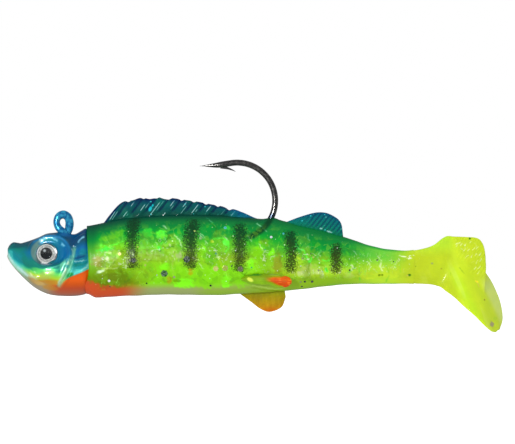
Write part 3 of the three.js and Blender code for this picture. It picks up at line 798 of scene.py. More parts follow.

# Patches on the tail, its colour and painted white highlights: place, half sizes, tilt in degrees,
# share, colour.
TAIL_PATCHES = [
    ((85.5, -12.4), (0.45, 0.28), -20, 0.95, YELLOW),
    ((88.25, -21.0), (0.45, 0.75), 14, 0.85, PEARL),
    ((81.2, -4.6), (0.4, 0.12), 30, 0.7, WHITE_GLINT),
    ((81.8, -4.4), (0.3, 0.1), 30, 0.7, WHITE_GLINT),
    ((76.1, -8.6), (0.3, 0.2), 0, 0.8, SAGE),
    ((71.4, -11.0), (0.26, 0.24), 0, 0.95, DARK_GREEN),
    ((71.0, -11.1), (0.16, 0.14), 0, 0.8, SAND),
    ((84.0, -3.5), (0.24, 0.2), 0, 0.9, DARK_GREEN),
    ((86.9, -16.1), (0.18, 0.18), 0, 0.8, BRONZE),
    ((78.0, -9.7), (0.15, 0.15), 0, 0.7, BRONZE),
    ((72.7, -9.2), (0.15, 0.15), 0, 0.8, OLIVE),
    ((68.0, -8.9), (0.15, 0.13), 0, 0.8, OLIVE),
    ((89.2, -20.0), (0.4, 0.4), 0, 0.5, PALE_LIME),
]

# Painted highlights as short bright dashes along the fin rays of the tail, then its dark nicks.
TAIL_LINES = [
    (0.07, 0.75, WHITE_GLINT, (x, z), (x + 0.4, z + 0.5)) for x, z in (
        (81.1, -5.2), (82.0, -5.0), (82.9, -4.9), (83.8, -4.6), (82.6, -6.2), (83.5, -6.1),
        (84.5, -5.9), (85.3, -5.7), (83.2, -7.4), (84.1, -7.4), (85.0, -7.2), (85.9, -7.0),
        (84.3, -8.6), (85.2, -8.6), (86.0, -8.2), (84.8, -9.9), (85.7, -9.7), (85.5, -10.8))
] + [
    (0.12, 0.6, MOSS, (81.8, -9.5), (82.7, -10.7)),
    (0.10, 0.4, MOSS, (79.8, -10.6), (80.3, -11.8)),
    (0.09, 0.6, SAND, (84.9, -11.6), (85.9, -13.4)),
]

HEAD_PATCHES = [
    ((-8.4, -4.9), (2.6, 0.5), 12, 0.6, SLATE),
    ((-7.2, -8.2), (0.7, 1.8), 22, 0.7, JADE),
    ((-5.7, -9.6), (1.1, 0.45), -28, 0.6, JADE),
    ((-3.2, -10.1), (2.8, 0.55), 8, 0.75, APPLE),
    ((0.5, -8.9), (0.5, 1.3), -28, 0.6, SEA_GLINT),
    ((-3.6, -11.5), (1.7, 0.55), 8, 0.6, STRAW),
    ((-1.7, -12.4), (1.5, 0.55), 5, 0.7, AMBER),
    ((-10.6, -6.7), (0.6, 1.0), 20, 0.5, AQUA),
    ((2.9, -3.9), (1.6, 0.9), 30, 0.6, NAVY),
    ((4.6, -6.3), (0.8, 0.9), 0, 0.6, TEAL),
    ((3.9, -7.3), (1.3, 0.35), 14, 0.6, NAVY),
    ((3.6, -8.8), (1.2, 0.3), 10, 0.6, JADE),
    ((1.9, -10.9), (0.9, 0.45), 24, 0.8, EMERALD),
    ((-4.6, -9.9), (1.6, 0.5), -12, 0.6, APPLE),
    ((-2.6, -10.6), (1.9, 0.5), 5, 0.6, STRAW),
    ((-3.2, -4.4), (1.6, 0.5), 4, 0.6, BLUE),
    ((-4.6, -12.5), (1.6, 0.5), -20, 0.6, SAND),
    ((-2.2, -13.5), (1.8, 0.6), -8, 0.6, AMBER),
    ((4.3, -9.3), (1.0, 0.4), 14, 0.6, TEAL),
]

# Painted highlights along the lip, brow, nape and gill plate: half width, share, colour, points.
HEAD_LINES = [
    (0.20, 0.8, ICE, (-11.1, -6.5), (-10.2, -8.2), (-9, -9.3), (-7.6, -10.4), (-6.9, -11.1)),
    (0.15, 0.7, WHITE_GLINT, (-5.3, -10.3), (-4.8, -11.0)),
    (0.13, 0.6, WHITE_GLINT, (-6.3, -10.5), (-5.8, -11.0)),
    (0.22, 0.8, SKY, (-4.9, -3.9), (-3.4, -3.35), (-2.0, -3.4), (-0.6, -4.1), (0.6, -5.0)),
    (0.15, 0.8, SKY, (3.5, -4.2), (4.0, -3.6), (4.6, -3.1)),
    (0.12, 0.7, ICE, (2.9, -8.2), (4.0, -8.1), (5.4, -7.9)),
    (0.30, 0.6, SEA_GLINT, (2.0, -7.2), (1.5, -9.2), (0.6, -11.2), (-0.4, -12.7)),
    (0.20, 0.9, MINT, (1.6, -8.4), (1.1, -9.8), (0.5, -11.0), (-0.5, -12.8)),
    (0.10, 0.6, ICE, (2.3, -5.6), (2.5, -6.8), (2.1, -8.0)),
    (0.10, 0.5, ICE, (1.4, -7.6), (1.2, -9.0), (0.4, -10.6)),
    (0.16, 0.7, ICE, (5.8, -8.4), (5.5, -9.0), (4.4, -9.9)),
]

# ---------------------------------------------------------------- the soft body

back, belly, body_half = [smooth_line(p) for p in (BACK, BELLY, BODY_HALF)]
sleeve_edge = smooth_line(SLEEVE_EDGE)


def oval(top, bottom, half, angle, fullness=0.09):
    """Y and Z on the section, fuller below its middle. The angle runs from +Y towards +Z."""
    y = half * (1 - fullness * np.sin(angle)) * np.cos(angle)
    z = (top + bottom) / 2 + (top - bottom) / 2 * np.sin(angle)
    return y, z


def body_points(x, angle):
    """Grid on the body: one row per x, one column per angle."""
    x, angle = np.meshgrid(x, angle, indexing="ij")
    y, z = oval(back(x), belly(x), body_half(x), angle)
    return np.stack([x, y, z], -1), angle


def scale_relief(x, girth):
    """Shingled round scales: 1 at a scale's free rear edge, falling to 0 at its front."""
    radius, pitch_x, pitch_g = 2.0, 3.1, 2.9
    best = np.full(x.shape, 1e9)
    height = np.zeros(x.shape)
    column = np.floor(x / pitch_x)
    for step in (-1, 0, 1):
        c = column + step
        centre_x = (c + 0.5) * pitch_x
        shift = (c % 2) * 0.5
        centre_g = (np.round(girth / pitch_g - shift) + shift) * pitch_g
        dx, dg = x - centre_x, girth - centre_g
        inside = (dx * dx + dg * dg < radius * radius) & (centre_x < best)
        height = np.where(inside, (dx + radius) / (2 * radius), height)
        best = np.where(inside, centre_x, best)
    return height


def girth_at(x, up):
    """How far round the skin a height lies, from the top of the back."""
    return np.arccos(np.clip(2 * up - 1, -1, 1)) * (back(x) - belly(x)) * 0.42


def up_of(x, z):
    """0 on the belly line, 1 on the back."""
    return np.clip((z - belly(x)) / (back(x) - belly(x)), 0, 1)


def body_relief(points, angle):
    """How far the skin stands out from the plain loft."""
    x, z = points[..., 0], points[..., 2]
    up = up_of(x, z)
    girth = girth_at(x, up)
    worn = 0.45 + 0.55 * smoothstep(-0.3, 0.7, soft_noise(x, z, 5, 3))
    scaled = smoothstep(7, 12, x) * smoothstep(72, 66, x) * smoothstep(0.1, 0.24, up)
    scaled = scaled * smoothstep(0.95, 0.84, up) * worn
    relief = (0.1 + 0.06 * smoothstep(52, 60, x)) * scaled * (scale_relief(x, girth) - 0.5)
    relief = relief + 0.05 * soft_noise(x, z, 2.6, 5) * smoothstep(6, 9, x)
    crest = smoothstep(0.955, 1.0, up)
    relief = relief + 0.22 * crest * (bump(x, 24, 14) + bump(x, 52, 5))
    relief = relief + 0.3 * crest * bump(x, 43.3, 1.2)
    left = np.cos(angle) < 0
    pocket = bump(x, 41.5, 4.6) * bump(z, -13.2, 1.3)
    return relief + 0.3 * pocket * np.where(left, 1.0, 0.7)


def body_paint(x, z, up):
    """Screen colours of the clear body over its foil; the ramps from belly to back hold painted shade
    along with the body's colours, and the scale edges carry painted highlights.
    """
    front = ramp(up, [(0, RUST), (0.1, RUST), (0.24, OLIVE), (0.45, MOSS), (0.57, MOSS),
                      (0.68, LEAF), (0.8, EMERALD), (0.9, FOREST), (1, PINE)])
    middle = ramp(up, [(0, SAGE), (0.08, SAGE), (0.16, LIME), (0.35, LIME), (0.47, MOSS),
                       (0.6, LEAF), (0.8, EMERALD), (0.93, FOREST), (1, PINE)])
    rear = ramp(up, [(0, MOSS), (0.15, MOSS), (0.27, PALE_LIME), (0.5, LEAF), (0.7, EMERALD),
                     (1, FOREST)])
    stem = ramp(up, [(0, PALE_LIME), (0.45, PALE_LIME), (0.75, GRASS), (0.92, GRASS),
                     (1, EMERALD)])
    colour = mix(front, middle, smoothstep(11, 19, x))
    belly_left = smoothstep(0.12, 0.0, up) * smoothstep(40, 26, x) * smoothstep(12, 20, x)
    colour = mix(colour, SAGE, 0.7 * belly_left)
    colour = mix(colour, rear, smoothstep(34, 50, x))
    colour = mix(colour, stem, smoothstep(57, 66, x))
    colour = mix(colour, tail_paint(x, z), smoothstep(66, 73, x))
    rim = smoothstep(8.2, 6.4, x) * smoothstep(0.2, 0.3, up)
    rim_paint = ramp(up, [(0.2, OLIVE), (0.5, LEAF), (0.8, FOREST), (1, PINE)])
    colour = mix(colour, rim_paint, 0.75 * rim)
    throat = smoothstep(-11.4, -12.4, z + 0.16 * (x - 5)) * smoothstep(15, 8.5, x)
    colour = mix(colour, RUST, throat)
    olive = np.exp(-(((x - 12) / 3.2) ** 2) - ((z + 12.2) / 1.1) ** 2)
    colour = mix(colour, OLIVE, 0.7 * olive)
    # painted highlights along the scales' rear edges
    edge = smoothstep(0.88, 0.98, scale_relief(x, girth_at(x, up))) * smoothstep(0.14, 0.25, up)
    edge = edge * smoothstep(0.92, 0.8, up) * smoothstep(10, 14, x) * smoothstep(72, 66, x)
    edge = edge * smoothstep(-0.1, 0.4, soft_noise(x, z, 3, 23))
    colour = mix(colour, (150, 240, 90), (0.4 + 0.2 * smoothstep(54, 60, x)) * edge)
    clear_belly = smoothstep(0.14, 0.03, up) * smoothstep(26, 31, x) * smoothstep(52, 44, x)
    colour = mix(colour, MOSS, 0.75 * clear_belly)
    colour = star_creases(colour, x, z)
    colour = touch_up(colour, x, z, BODY_PATCHES, BODY_LINES)
    ring = np.hypot(x - BEND_X, z - BEND_Z)
    along_bend = np.arctan2(z - BEND_Z, x - BEND_X)
    wire = np.exp(-(((ring - BEND_R) / HOOK_WIRE_R) ** 4)) * (along_bend < 0)
    wire = wire * smoothstep(37.6, 39.2, x) * (x > BEND_X)
    return mix(colour, (12, 66, 44), 0.9 * wire)


def star_creases(colour, x, z):
    """The foil is pinched to a point between the last two bars; fine creases spread from it, painted
    as lit and shaded lines, with a painted highlight at the point.
    """
    dx, dz = x - FOIL_PINCH[0], z - FOIL_PINCH[1]
    away, turn = np.hypot(dx, dz), np.arctan2(dz, dx)
    ray = np.sin(11 * turn + 4 * soft_noise(np.cos(turn), np.sin(turn), 0.7, 81))
    reach = smoothstep(0.3, 0.9, away) * smoothstep(4.4, 2.4, away) * smoothstep(1.2, -0.4, z + 5)
    reach = reach * smoothstep(-0.8, 0.4, soft_noise(x, z, 1.2, 83))
    colour = mix(colour, PALE_LIME, 0.5 * reach * smoothstep(0.6, 0.98, ray))
    colour = mix(colour, OLIVE, 0.4 * reach * smoothstep(-0.6, -0.95, ray))
    return mix(colour, SPRING, 0.8 * smoothstep(0.45, 0.15, away))


def body_glint_density(x, z):
    """How thickly painted white glints lie, 0 to 1: on the pinched foil and the scales behind it."""
    spots = [(8.2, -8.2, 1.6, 1.6, 0.8), (13.2, -8.3, 1.2, 1.2, 0.8), (20.6, -5.4, 2.2, 1.6, 0.5),
             (31, -6.4, 3.4, 2.2, 0.6), (42, -8, 2, 2.2, 0.5), (49, -10.4, 1.5, 0.8, 1.2),
             (53.3, -10.4, 1.5, 0.8, 1.2), (50.5, -7.2, 2.6, 1.6, 0.5), (56.6, -9.6, 1, 1.2, 1),
             (61.5, -8.6, 3.6, 1.4, 0.6), (66.8, -8.6, 3.2, 1.3, 0.6), (71.2, -7.2, 1.6, 0.55, 1.3),
             (83.5, -5.2, 1.8, 0.7, 0.6)]
    total = np.zeros(np.shape(x))
    for centre_x, centre_z, half_x, half_z, share in spots:
        total = total + share * bump(x, centre_x, half_x) * bump(z, centre_z, half_z)
    return np.clip(total, 0, 1)


def body_bars(x, z):
    """Where the dark speckled bars lie, 0 to 1."""
    total = np.zeros(x.shape)
    wander = 0.3 * soft_noise(x * 0.2, z, 3, 11)
    for centre, half_width, top, foot in BARS:
        across = np.exp(-((np.abs(x + wander - centre) / half_width) ** 2.1))
        fade = 1 - 0.1 * smoothstep(top - 2, top - 7, z) - 0.16 * smoothstep(top - 1.6, top, z)
        ends = smoothstep(foot - 0.9, foot + 0.9, z) * smoothstep(top + 1.4, top - 0.2, z)
        total += across * fade * ends
    return np.clip(total, 0, 1)


def body_foil(x, z, up):
    """Where the foil lies close under the skin, 0 to 1."""
    ragged = 0.03 * soft_noise(x, z, 1.6, 21)
    low = smoothstep(0.13, 0.17, up + ragged + 0.02 * smoothstep(20, 10, x))
    high = smoothstep(0.97, 0.72, up) * (1 - 0.65 * bump(x, 19.5, 3.4) * bump(z, -7, 2))
    return low * high * smoothstep(6.6, 8.6, x) * (1 - 0.75 * smoothstep(58, 70, x))


def finish_skin(obj, paint):
    x, _, z = places(obj).T
    up = up_of(x, z)
    set_paint(obj, paint(x, z, up))
    set_value(obj, "bars", body_bars(x, z))
    set_value(obj, "foil", body_foil(x, z, up))
    set_value(obj, "painted_glints", body_glint_density(x, z))


def body_skin(name, span, spacing, columns):
    start, stop = span
    rows = np.linspace(start, stop, round((stop - start) / spacing) + 1)
    points, angle = body_points(rows, full_turn(columns, -math.pi / 2))
    points = points + grid_normals(points) * body_relief(points, angle)[..., None]
    if start == FRONT_SKIN[0]:
        points = sleeve_mouth(points)
    obj = tube_mesh(name, points)
    finish_skin(obj, body_paint)
    return obj


def sleeve_mouth(points):
    """Moves the first rows to the sleeve's wavy front edge and rounds its lip."""
    x, z = points[..., 0], points[..., 2]
    edge = sleeve_edge(z[0])[None]
    fade = smoothstep(10, FRONT_SKIN[0], x)
    points = points.copy()
    points[..., 0] = x + (edge - FRONT_SKIN[0]) * fade
    centre = points[0].mean(0)
    lip = []
    for turned in np.linspace(0, math.pi / 2, 6)[:-1]:
        inset = 0.1 * (1 - math.sin(turned))
        row = points[0] + (centre - points[0]) * [0, inset, inset * 0.6]
        row[:, 0] = edge[0] + 0.4 * (1 - math.sin(turned)) ** 2 - 0.4
        lip.append(row)
    return np.concatenate([np.array(lip), points])


def dish_section(near, crease, far, across, thickness):
    """Ring across the paddle: out along one face from near to far edge, back along the other."""
    t = across[:, None]
    control = 2 * crease - 0.5 * near - 0.5 * far
    line = (1 - t) ** 2 * near + 2 * t * (1 - t) * control + t ** 2 * far
    tangent = np.gradient(line, axis=0)
    face = np.cross(tangent, [0.45, 0, -0.89])
    face /= np.linalg.norm(face, axis=1, keepdims=True)
    half = thickness * (0.28 + 0.72 * np.sin(math.pi * across) ** 0.8)[:, None] / 2
    return np.vstack([line - face * half, (line + face * half)[::-1]])


DISH_NEAR = [
    (75.6, -0.1, -12.6), (78.2, -1.1, -14.0), (80.2, -2.9, -15.35), (82.3, -4.4, -17.3),
    (84.4, -5.1, -19.2), (86.6, -4.7, -21.3), (88.2, -2.8, -22.5), (89.3, -1.0, -22.85),
]
DISH_CREASE = [
    (79.2, 0, -4.9), (81.6, 0, -7.8), (84.1, 0, -11.3), (86.3, 0, -14.9), (88.1, 0, -18.4),
    (89.1, 0, -21), (89.6, 0, -22.4),
]
DISH_FAR = [
    (80, 0.4, -4.2), (83.2, 2.3, -6), (86.5, 4.1, -9), (89.1, 5.1, -12.7), (90.7, 4.8, -16.3),
    (91.1, 2.7, -20.2), (90.2, 0.9, -22.5),
]
WEB_TOP = [
    (76, -5.4), (77.3, -4.3), (78.6, -3.3), (79.6, -2.9), (80.6, -3.05), (82.6, -3.1), (84.6, -3.2),
    (85.8, -3.5), (86.6, -4.4), (87.1, -5.9), (87.35, -8.4), (87.4, -11), (87.2, -14.4),
]
WEB_FOOT = [
    (76, -8), (77.3, -7.8), (78.5, -7.5), (80, -7), (81, -7.2), (82, -8.2), (83, -9.6), (84, -11.1),
    (85, -12.6), (85.8, -13.8), (86.3, -14.6), (86.6, -15.1), (86.8, -15.6),
]


WRAP_VOXEL, WRAP_ROUNDS = 0.12, 16


def joint_softness(co):
    """Where the tail's shells meet and the seams between them are to be rubbed away, 0 to 1."""
    x, _, z = co.T
    down, out = paddle_place(x, z)
    crease = bump(out, 0, 2) * smoothstep(0.5, 2, down) * smoothstep(20, 17, down)
    start = bump((x - 78.2 - 0.33 * (z + 8.6)) * 0.95, 0, 1.5)
    start = start * smoothstep(-3.9, -5.2, z)
    return np.maximum(crease, start)


def smoothed(co, edges, rounds, share):
    """Moves each point by its share towards the middle of its neighbours, round after round."""
    a, b = edges.T
    count = np.bincount(np.concatenate([a, b]), minlength=len(co))[:, None]
    for _ in range(rounds):
        total = np.stack([
            np.bincount(a, co[b, k], len(co)) + np.bincount(b, co[a, k], len(co)) for k in range(3)
        ], 1)
        co = co + np.asarray(share)[..., None] * (total / count - co)
    return co


def wrapped(obj):
    """One closed skin round all the shells of a mesh, with its creases softened."""
    obj.data.transform(((1 / MM, 0, 0, 0), (0, 1 / MM, 0, 0), (0, 0, 1 / MM, 0), (0, 0, 0, 1)))
    wrap = obj.modifiers.new("wrap", "REMESH")
    wrap.mode = "VOXEL"
    wrap.voxel_size = WRAP_VOXEL
    evaluated = obj.evaluated_get(bpy.context.evaluated_depsgraph_get())
    mesh = bpy.data.meshes.new_from_object(evaluated)
    obj.modifiers.clear()
    count = len(mesh.vertices)
    co = np.zeros(count * 3)
    mesh.vertices.foreach_get("co", co)
    co = co.reshape(-1, 3)
    edges = np.zeros(len(mesh.edges) * 2, np.int32)
    mesh.edges.foreach_get("vertices", edges)
    edges = edges.reshape(-1, 2)
    co = smoothed(co, edges, WRAP_ROUNDS, np.full(count, 0.5))
    co = smoothed(co, edges, 9 * WRAP_ROUNDS, 0.5 * joint_softness(co))
    mesh.vertices.foreach_set("co", co.ravel())
    mesh.update()
    normals = np.zeros(count * 3)
    mesh.vertex_normals.foreach_get("vector", normals)
    return mesh, co, normals.reshape(-1, 3)


def paddle_place(x, z):
    """How far down the paddle from its top corner, and how far out behind its middle line."""
    dx, dz = x - PADDLE_TOP[0], z - PADDLE_TOP[1]
    return dx * PADDLE_RUN - dz * PADDLE_DROP, dx * PADDLE_DROP + dz * PADDLE_RUN


def tail_relief(co, normals):
    """Fin rays on the upright web, ribs on the paddle's near face."""
    x, y, z = co.T
    down, out = paddle_place(x, z)
    upper = smoothstep(80.5, 82.5, x) * smoothstep(-12.5, -10.5, z) * smoothstep(0.9, 0.6, np.abs(y))
    ray = np.sin(2 * math.pi * (0.82 * x - 0.57 * z) / 0.7 + 0.8 * soft_noise(x, z, 3, 31))
    rays = 0.045 * ray * upper * smoothstep(-0.4, 0.5, soft_noise(x, z, 2.2, 33))
    rays = rays * smoothstep(0.6, 0.95, np.abs(normals[:, 1]))
    rib = bump(out, -3.6, 1.0) * smoothstep(4, 9, down) * smoothstep(20, 15, down)
    return rays + 0.07 * rib + 0.04 * soft_noise(x, z, 2.4, 35)


def tail_paint(x, z):
    """Chartreuse with a deeper crease, a lighter band down the paddle with a painted highlight,
    painted highlight streaks and a far side painted paler where it catches the light.
    """
    down, out = paddle_place(x, z)
    colour = ramp((z + 13) / 8, [(0, KEY_LIME), (0.7, KEY_LIME), (1, PALE_LIME)])
    behind = PADDLE_DROP * out + PADDLE_RUN * down
    pad = smoothstep(-1.5, 1.5, behind - 0.6 * np.abs(out) + 0.4)
    colour = mix(colour, CHARTREUSE, pad * smoothstep(79, 81, x))
    colour = mix(colour, CHARTREUSE, 0.4 * bump(x, 77.4, 2.2) * bump(z, -9, 2.8))
    inner = bump(out, -0.5, 0.9) * smoothstep(0.5, 4, down) * smoothstep(16, 10, down)
    colour = mix(colour, CHARTREUSE, 0.4 * inner)
    # painted highlight: the lighter band down the paddle's near face
    bright = bump(out, -2.6, 1.1) * smoothstep(3, 8, down)
    colour = mix(mix(colour, CHARTREUSE, 0.5 * bright), LIT_LIME, 0.12 * bright)
    # painted highlights: pale streaks down the paddle
    streaks = smoothstep(0.1, 0.8, soft_noise(out, 0.12 * down, 0.9, 37)) * smoothstep(3, 8, down)
    colour = mix(colour, WHITE_GLINT, 0.15 * streaks * smoothstep(0, -1.5, out))
    # painted highlight: the far side of the paddle paler where it catches the light
    far_side = smoothstep(0.3, 1.8, out - 0.7) * smoothstep(9, 13, down)
    colour = mix(colour, PALE_GLINT, 0.5 * far_side)
    web = smoothstep(0.2, 1.6, out) * smoothstep(13, 10, down)
    colour = mix(colour, KEY_LIME, 0.6 * web)
    return touch_up(colour, x, z, TAIL_PATCHES, TAIL_LINES)


def stem_to_tail_paint(x, z, up):
    return mix(body_paint(x, z, up), tail_paint(x, z), smoothstep(70, 74, x))


def tail_skin():
    """Stem, paddle and upright web, wrapped in one skin."""
    rows = np.linspace(TAIL_SKIN_FROM, 80.4, 48)
    stem, _ = body_points(rows, full_turn(96, -math.pi / 2))
    tuck = 0.04 * smoothstep(REAR_SKIN[1] + 0.6, REAR_SKIN[1], rows)[:, None, None]
    stem = stem - grid_normals(stem) * tuck
    shrink = smoothstep(78, 80.4, rows)[:, None]
    mid_z = (stem[..., 2].max(1) + stem[..., 2].min(1))[:, None] / 2
    stem[..., 2] = mid_z + (stem[..., 2] - mid_z) * (1 - 0.55 * shrink)
    stem[..., 1] *= 1 - 0.5 * shrink
    near, crease, far = [spline(p, 60) for p in (DISH_NEAR, DISH_CREASE, DISH_FAR)]
    across = np.linspace(0, 1, 40)
    thick = 1.35 - 0.5 * smoothstep(10, 0, np.arange(60))
    dish = np.array([dish_section(n, c, f, across, t)
                     for n, c, f, t in zip(near, crease, far, thick)])
    top, foot = spline(WEB_TOP, 80), spline(WEB_FOOT, 80)
    height = np.linspace(0, 1, 30)[:, None]
    web = []
    for t, f, share in zip(top, foot, np.linspace(0, 1, 80)):
        line = f + (t - f) * height
        half = (0.62 - 0.3 * smoothstep(0.45, 1, share)) * np.sqrt(1 - height[:, 0] ** 6 * 0.75)
        web.append(slab(line, 0, half))
    shells = [tube_mesh("shell", g) for g in (stem, dish, np.array(web))]
    bpy.ops.object.select_all(action="DESELECT")
    for shell in shells:
        shell.select_set(True)
    bpy.context.view_layer.objects.active = shells[0]
    bpy.ops.object.join()
    joined = bpy.context.view_layer.objects.active
    bpy.ops.object.mode_set(mode="EDIT")
    bpy.ops.mesh.select_all(action="SELECT")
    bpy.ops.mesh.normals_make_consistent(inside=False)
    bpy.ops.object.mode_set(mode="OBJECT")
    mesh, co, normals = wrapped(joined)
    co = co + normals * tail_relief(co, normals)[:, None]
    faces = [list(p.vertices) for p in mesh.polygons]
    bpy.data.objects.remove(joined)
    obj = new_object("tail_skin", co, faces)
    keep_rest(obj)
    finish_skin(obj, stem_to_tail_paint)
    return obj


# ---------------------------------------------------------------- fins


def fin_grid(top, foot, thickness, rows, columns, relief):
    """A fin between its foot line and its top line. relief(u, v) is added to both faces."""
    top, foot = spline(top, rows), spline(foot, rows)
    v = np.linspace(0, 1, columns)
    grid = []
    for u, t, f in zip(np.linspace(0, 1, rows), top, foot):
        line = f + (t - f) * v[:, None]
        half = thickness / 2 * (1 - 0.72 * v ** 1.3) * np.sqrt(np.clip(1.02 - v ** 10, 0, 1))
        half = half + relief(u, v, line[:, 0], line[:, 1]) * (1 - v ** 12)
        grid.append(slab(line, 0, half))
    return np.array(grid)


def dorsal_foot(start, stop, count):
    """A foot line half a millimetre under the back."""
    return [(x, float(back(x)) - 0.5) for x in np.linspace(start, stop, count)]


def dorsal_height(x, z, top):
    """0 where the fin leaves the back, 1 at its top edge."""
    return np.clip((z - back(x)) / np.maximum(top(x) - back(x), 0.2), 0, 1)


def fin_ray_phase(x, z):
    """0 to 1 from one slanting ray of the front fin to the next."""
    rays = (x - 0.78 * (z - back(x))) / 2.8
    return rays - np.floor(rays)


def front_dorsal():
    def relief(u, v, x, z):
        phase = fin_ray_phase(x, z)
        spine = bump(phase, 0.5, 0.17) - 0.6 * bump(phase, 0.84, 0.09)
        return (0.17 * spine + 0.04 * soft_noise(x, z, 1.2, 41)) * smoothstep(0.05, 0.3, v)

    top = smooth_line(FRONT_DORSAL_TOP)
    edge_x = np.linspace(FRONT_DORSAL_TOP[0][0], FRONT_DORSAL_TOP[-1][0], 150)
    edge_z = top(edge_x)
    notch = bump(fin_ray_phase(edge_x, edge_z), 0.84, 0.16) * smoothstep(10, 12, edge_x)
    edge_z = edge_z - 0.26 * notch * smoothstep(38, 32, edge_x)
    scalloped = list(zip(edge_x, edge_z))
    grid = fin_grid(scalloped, dorsal_foot(8.2, 38.5, 12), 1.5, 460, 40, relief)
    obj = tube_mesh("front_dorsal_skin", grid)
    x, _, z = places(obj).T
    v = dorsal_height(x, z, top)
    colour = ramp(v, [(0, (6, 78, 66)), (0.25, (2, 86, 78)), (0.7, (2, 86, 92)),
                      (0.88, (8, 60, 86)), (1, (20, 36, 78))])
    colour = mix(colour, (8, 118, 90), 0.5 * smoothstep(0.1, 0.7, soft_noise(x, z, 2.4, 43)))
    phase = fin_ray_phase(x, z)
    # painted shade in the grooves between the rays
    colour = mix(colour, (10, 40, 74), 0.7 * bump(phase, 0.84, 0.1) * smoothstep(0.15, 0.4, v))
    # painted highlights: thin pale streaks along the rays
    streak = bump(phase, 0.38, 0.028) * smoothstep(-0.4, 0.1, soft_noise(x, z, 1.5, 47))
    streak = streak + 0.8 * bump(phase, 0.6, 0.024) * smoothstep(0, 0.5, soft_noise(x, z, 1.5, 48))
    streak = streak * smoothstep(0.06, 0.16, v) * smoothstep(0.95, 0.75, v)
    colour = mix(colour, (206, 230, 230), 0.9 * np.clip(streak, 0, 1))
    # painted highlight: a cyan glint on the fin
    glint = patch(x, z, 18.1, 2.6, 0.35, 0.6, -25) + patch(x, z, 18.6, 3.3, 0.2, 0.3, -25)
    colour = mix(colour, (16, 190, 200), 0.9 * np.clip(glint, 0, 1))
    colour = mix(colour, (14, 104, 150), 0.6 * smoothstep(33, 37, x))
    colour = mix(colour, (34, 42, 80), 0.7 * smoothstep(0.35, 0.05, x - 8.9 - 0.75 * (z + 0.2)))
    set_paint(obj, colour)
    return obj


def rear_ray(x, z):
    """1 on the crest of a slanting ray of the rear fin, -1 between two rays."""
    return np.sin(2 * math.pi * (0.78 * x - 0.62 * z) / 0.8)


def rear_dorsal():
    def relief(u, v, x, z):
        return 0.075 * rear_ray(x, z) * (v > 0.12) + 0.02 * soft_noise(x, z, 1.1, 45)

    grid = fin_grid(REAR_DORSAL_TOP, dorsal_foot(45.8, 57.4, 8), 1.3, 150, 40, relief)
    obj = tube_mesh("rear_dorsal_skin", grid)
    x, _, z = places(obj).T
    v = dorsal_height(x, z, smooth_line(REAR_DORSAL_TOP))
    ray = rear_ray(x, z)
    colour = ramp(v, [(0, (6, 112, 84)), (0.3, (4, 120, 102)), (0.8, (4, 108, 112)),
                      (1, (10, 74, 110))])
    rayed = smoothstep(0.1, 0.3, v) * smoothstep(49.5, 51.5, x)
    # painted shade between the rays
    colour = mix(colour, (2, 62, 92), 0.6 * smoothstep(0.2, -0.9, ray) * rayed)
    # painted highlights: pale sheen patches, and dots on the ray crests
    wet = patch(x, z, 53.3, -1.45, 0.35, 0.16, -15) + patch(x, z, 55.0, -2.1, 0.7, 0.18, -18)
    dots = smoothstep(0.75, 0.95, ray) * smoothstep(0.5, 0.9, soft_noise(x, z, 0.5, 49)) * rayed
    colour = mix(colour, (176, 214, 210), 0.8 * np.clip(wet + 0.7 * dots, 0, 1))
    set_paint(obj, colour)
    return obj


def right_pelvic():
    """The far fin hangs below the belly."""
    top = [(36.4, -14.2), (38.8, -14.1), (41, -14), (43.5, -13.9), (45.6, -13.9), (45.9, -14.6)]
    foot = [(36.6, -15.0), (38.8, -16.6), (41, -18.2), (42.9, -18.7), (45.2, -17.7), (46.05, -15.6)]

    def relief(u, v, x, z):
        ray = np.sin(2 * math.pi * 9 * u)
        return 0.035 * ray * (0.3 + v) + 0.02 * soft_noise(x, z, 1.5, 51)

    grid = fin_grid(foot, top, 1.1, 90, 40, relief)
    grid[..., 1] += 1.4
    obj = tube_mesh("right_pelvic_skin", grid)
    x, _, z = places(obj).T
    colour = ramp((z + 18.7) / 4, [(0, (184, 116, 16)), (0.35, (176, 134, 16)), (0.8, (152, 138, 18)),
                                   (1, (140, 146, 24))])
    spot = np.exp(-(((x - 43) / 1.6) ** 2) - ((z + 18.4) / 0.6) ** 2)
    colour = mix(colour, (196, 92, 14), 0.6 * spot)
    set_paint(obj, colour)
    return obj


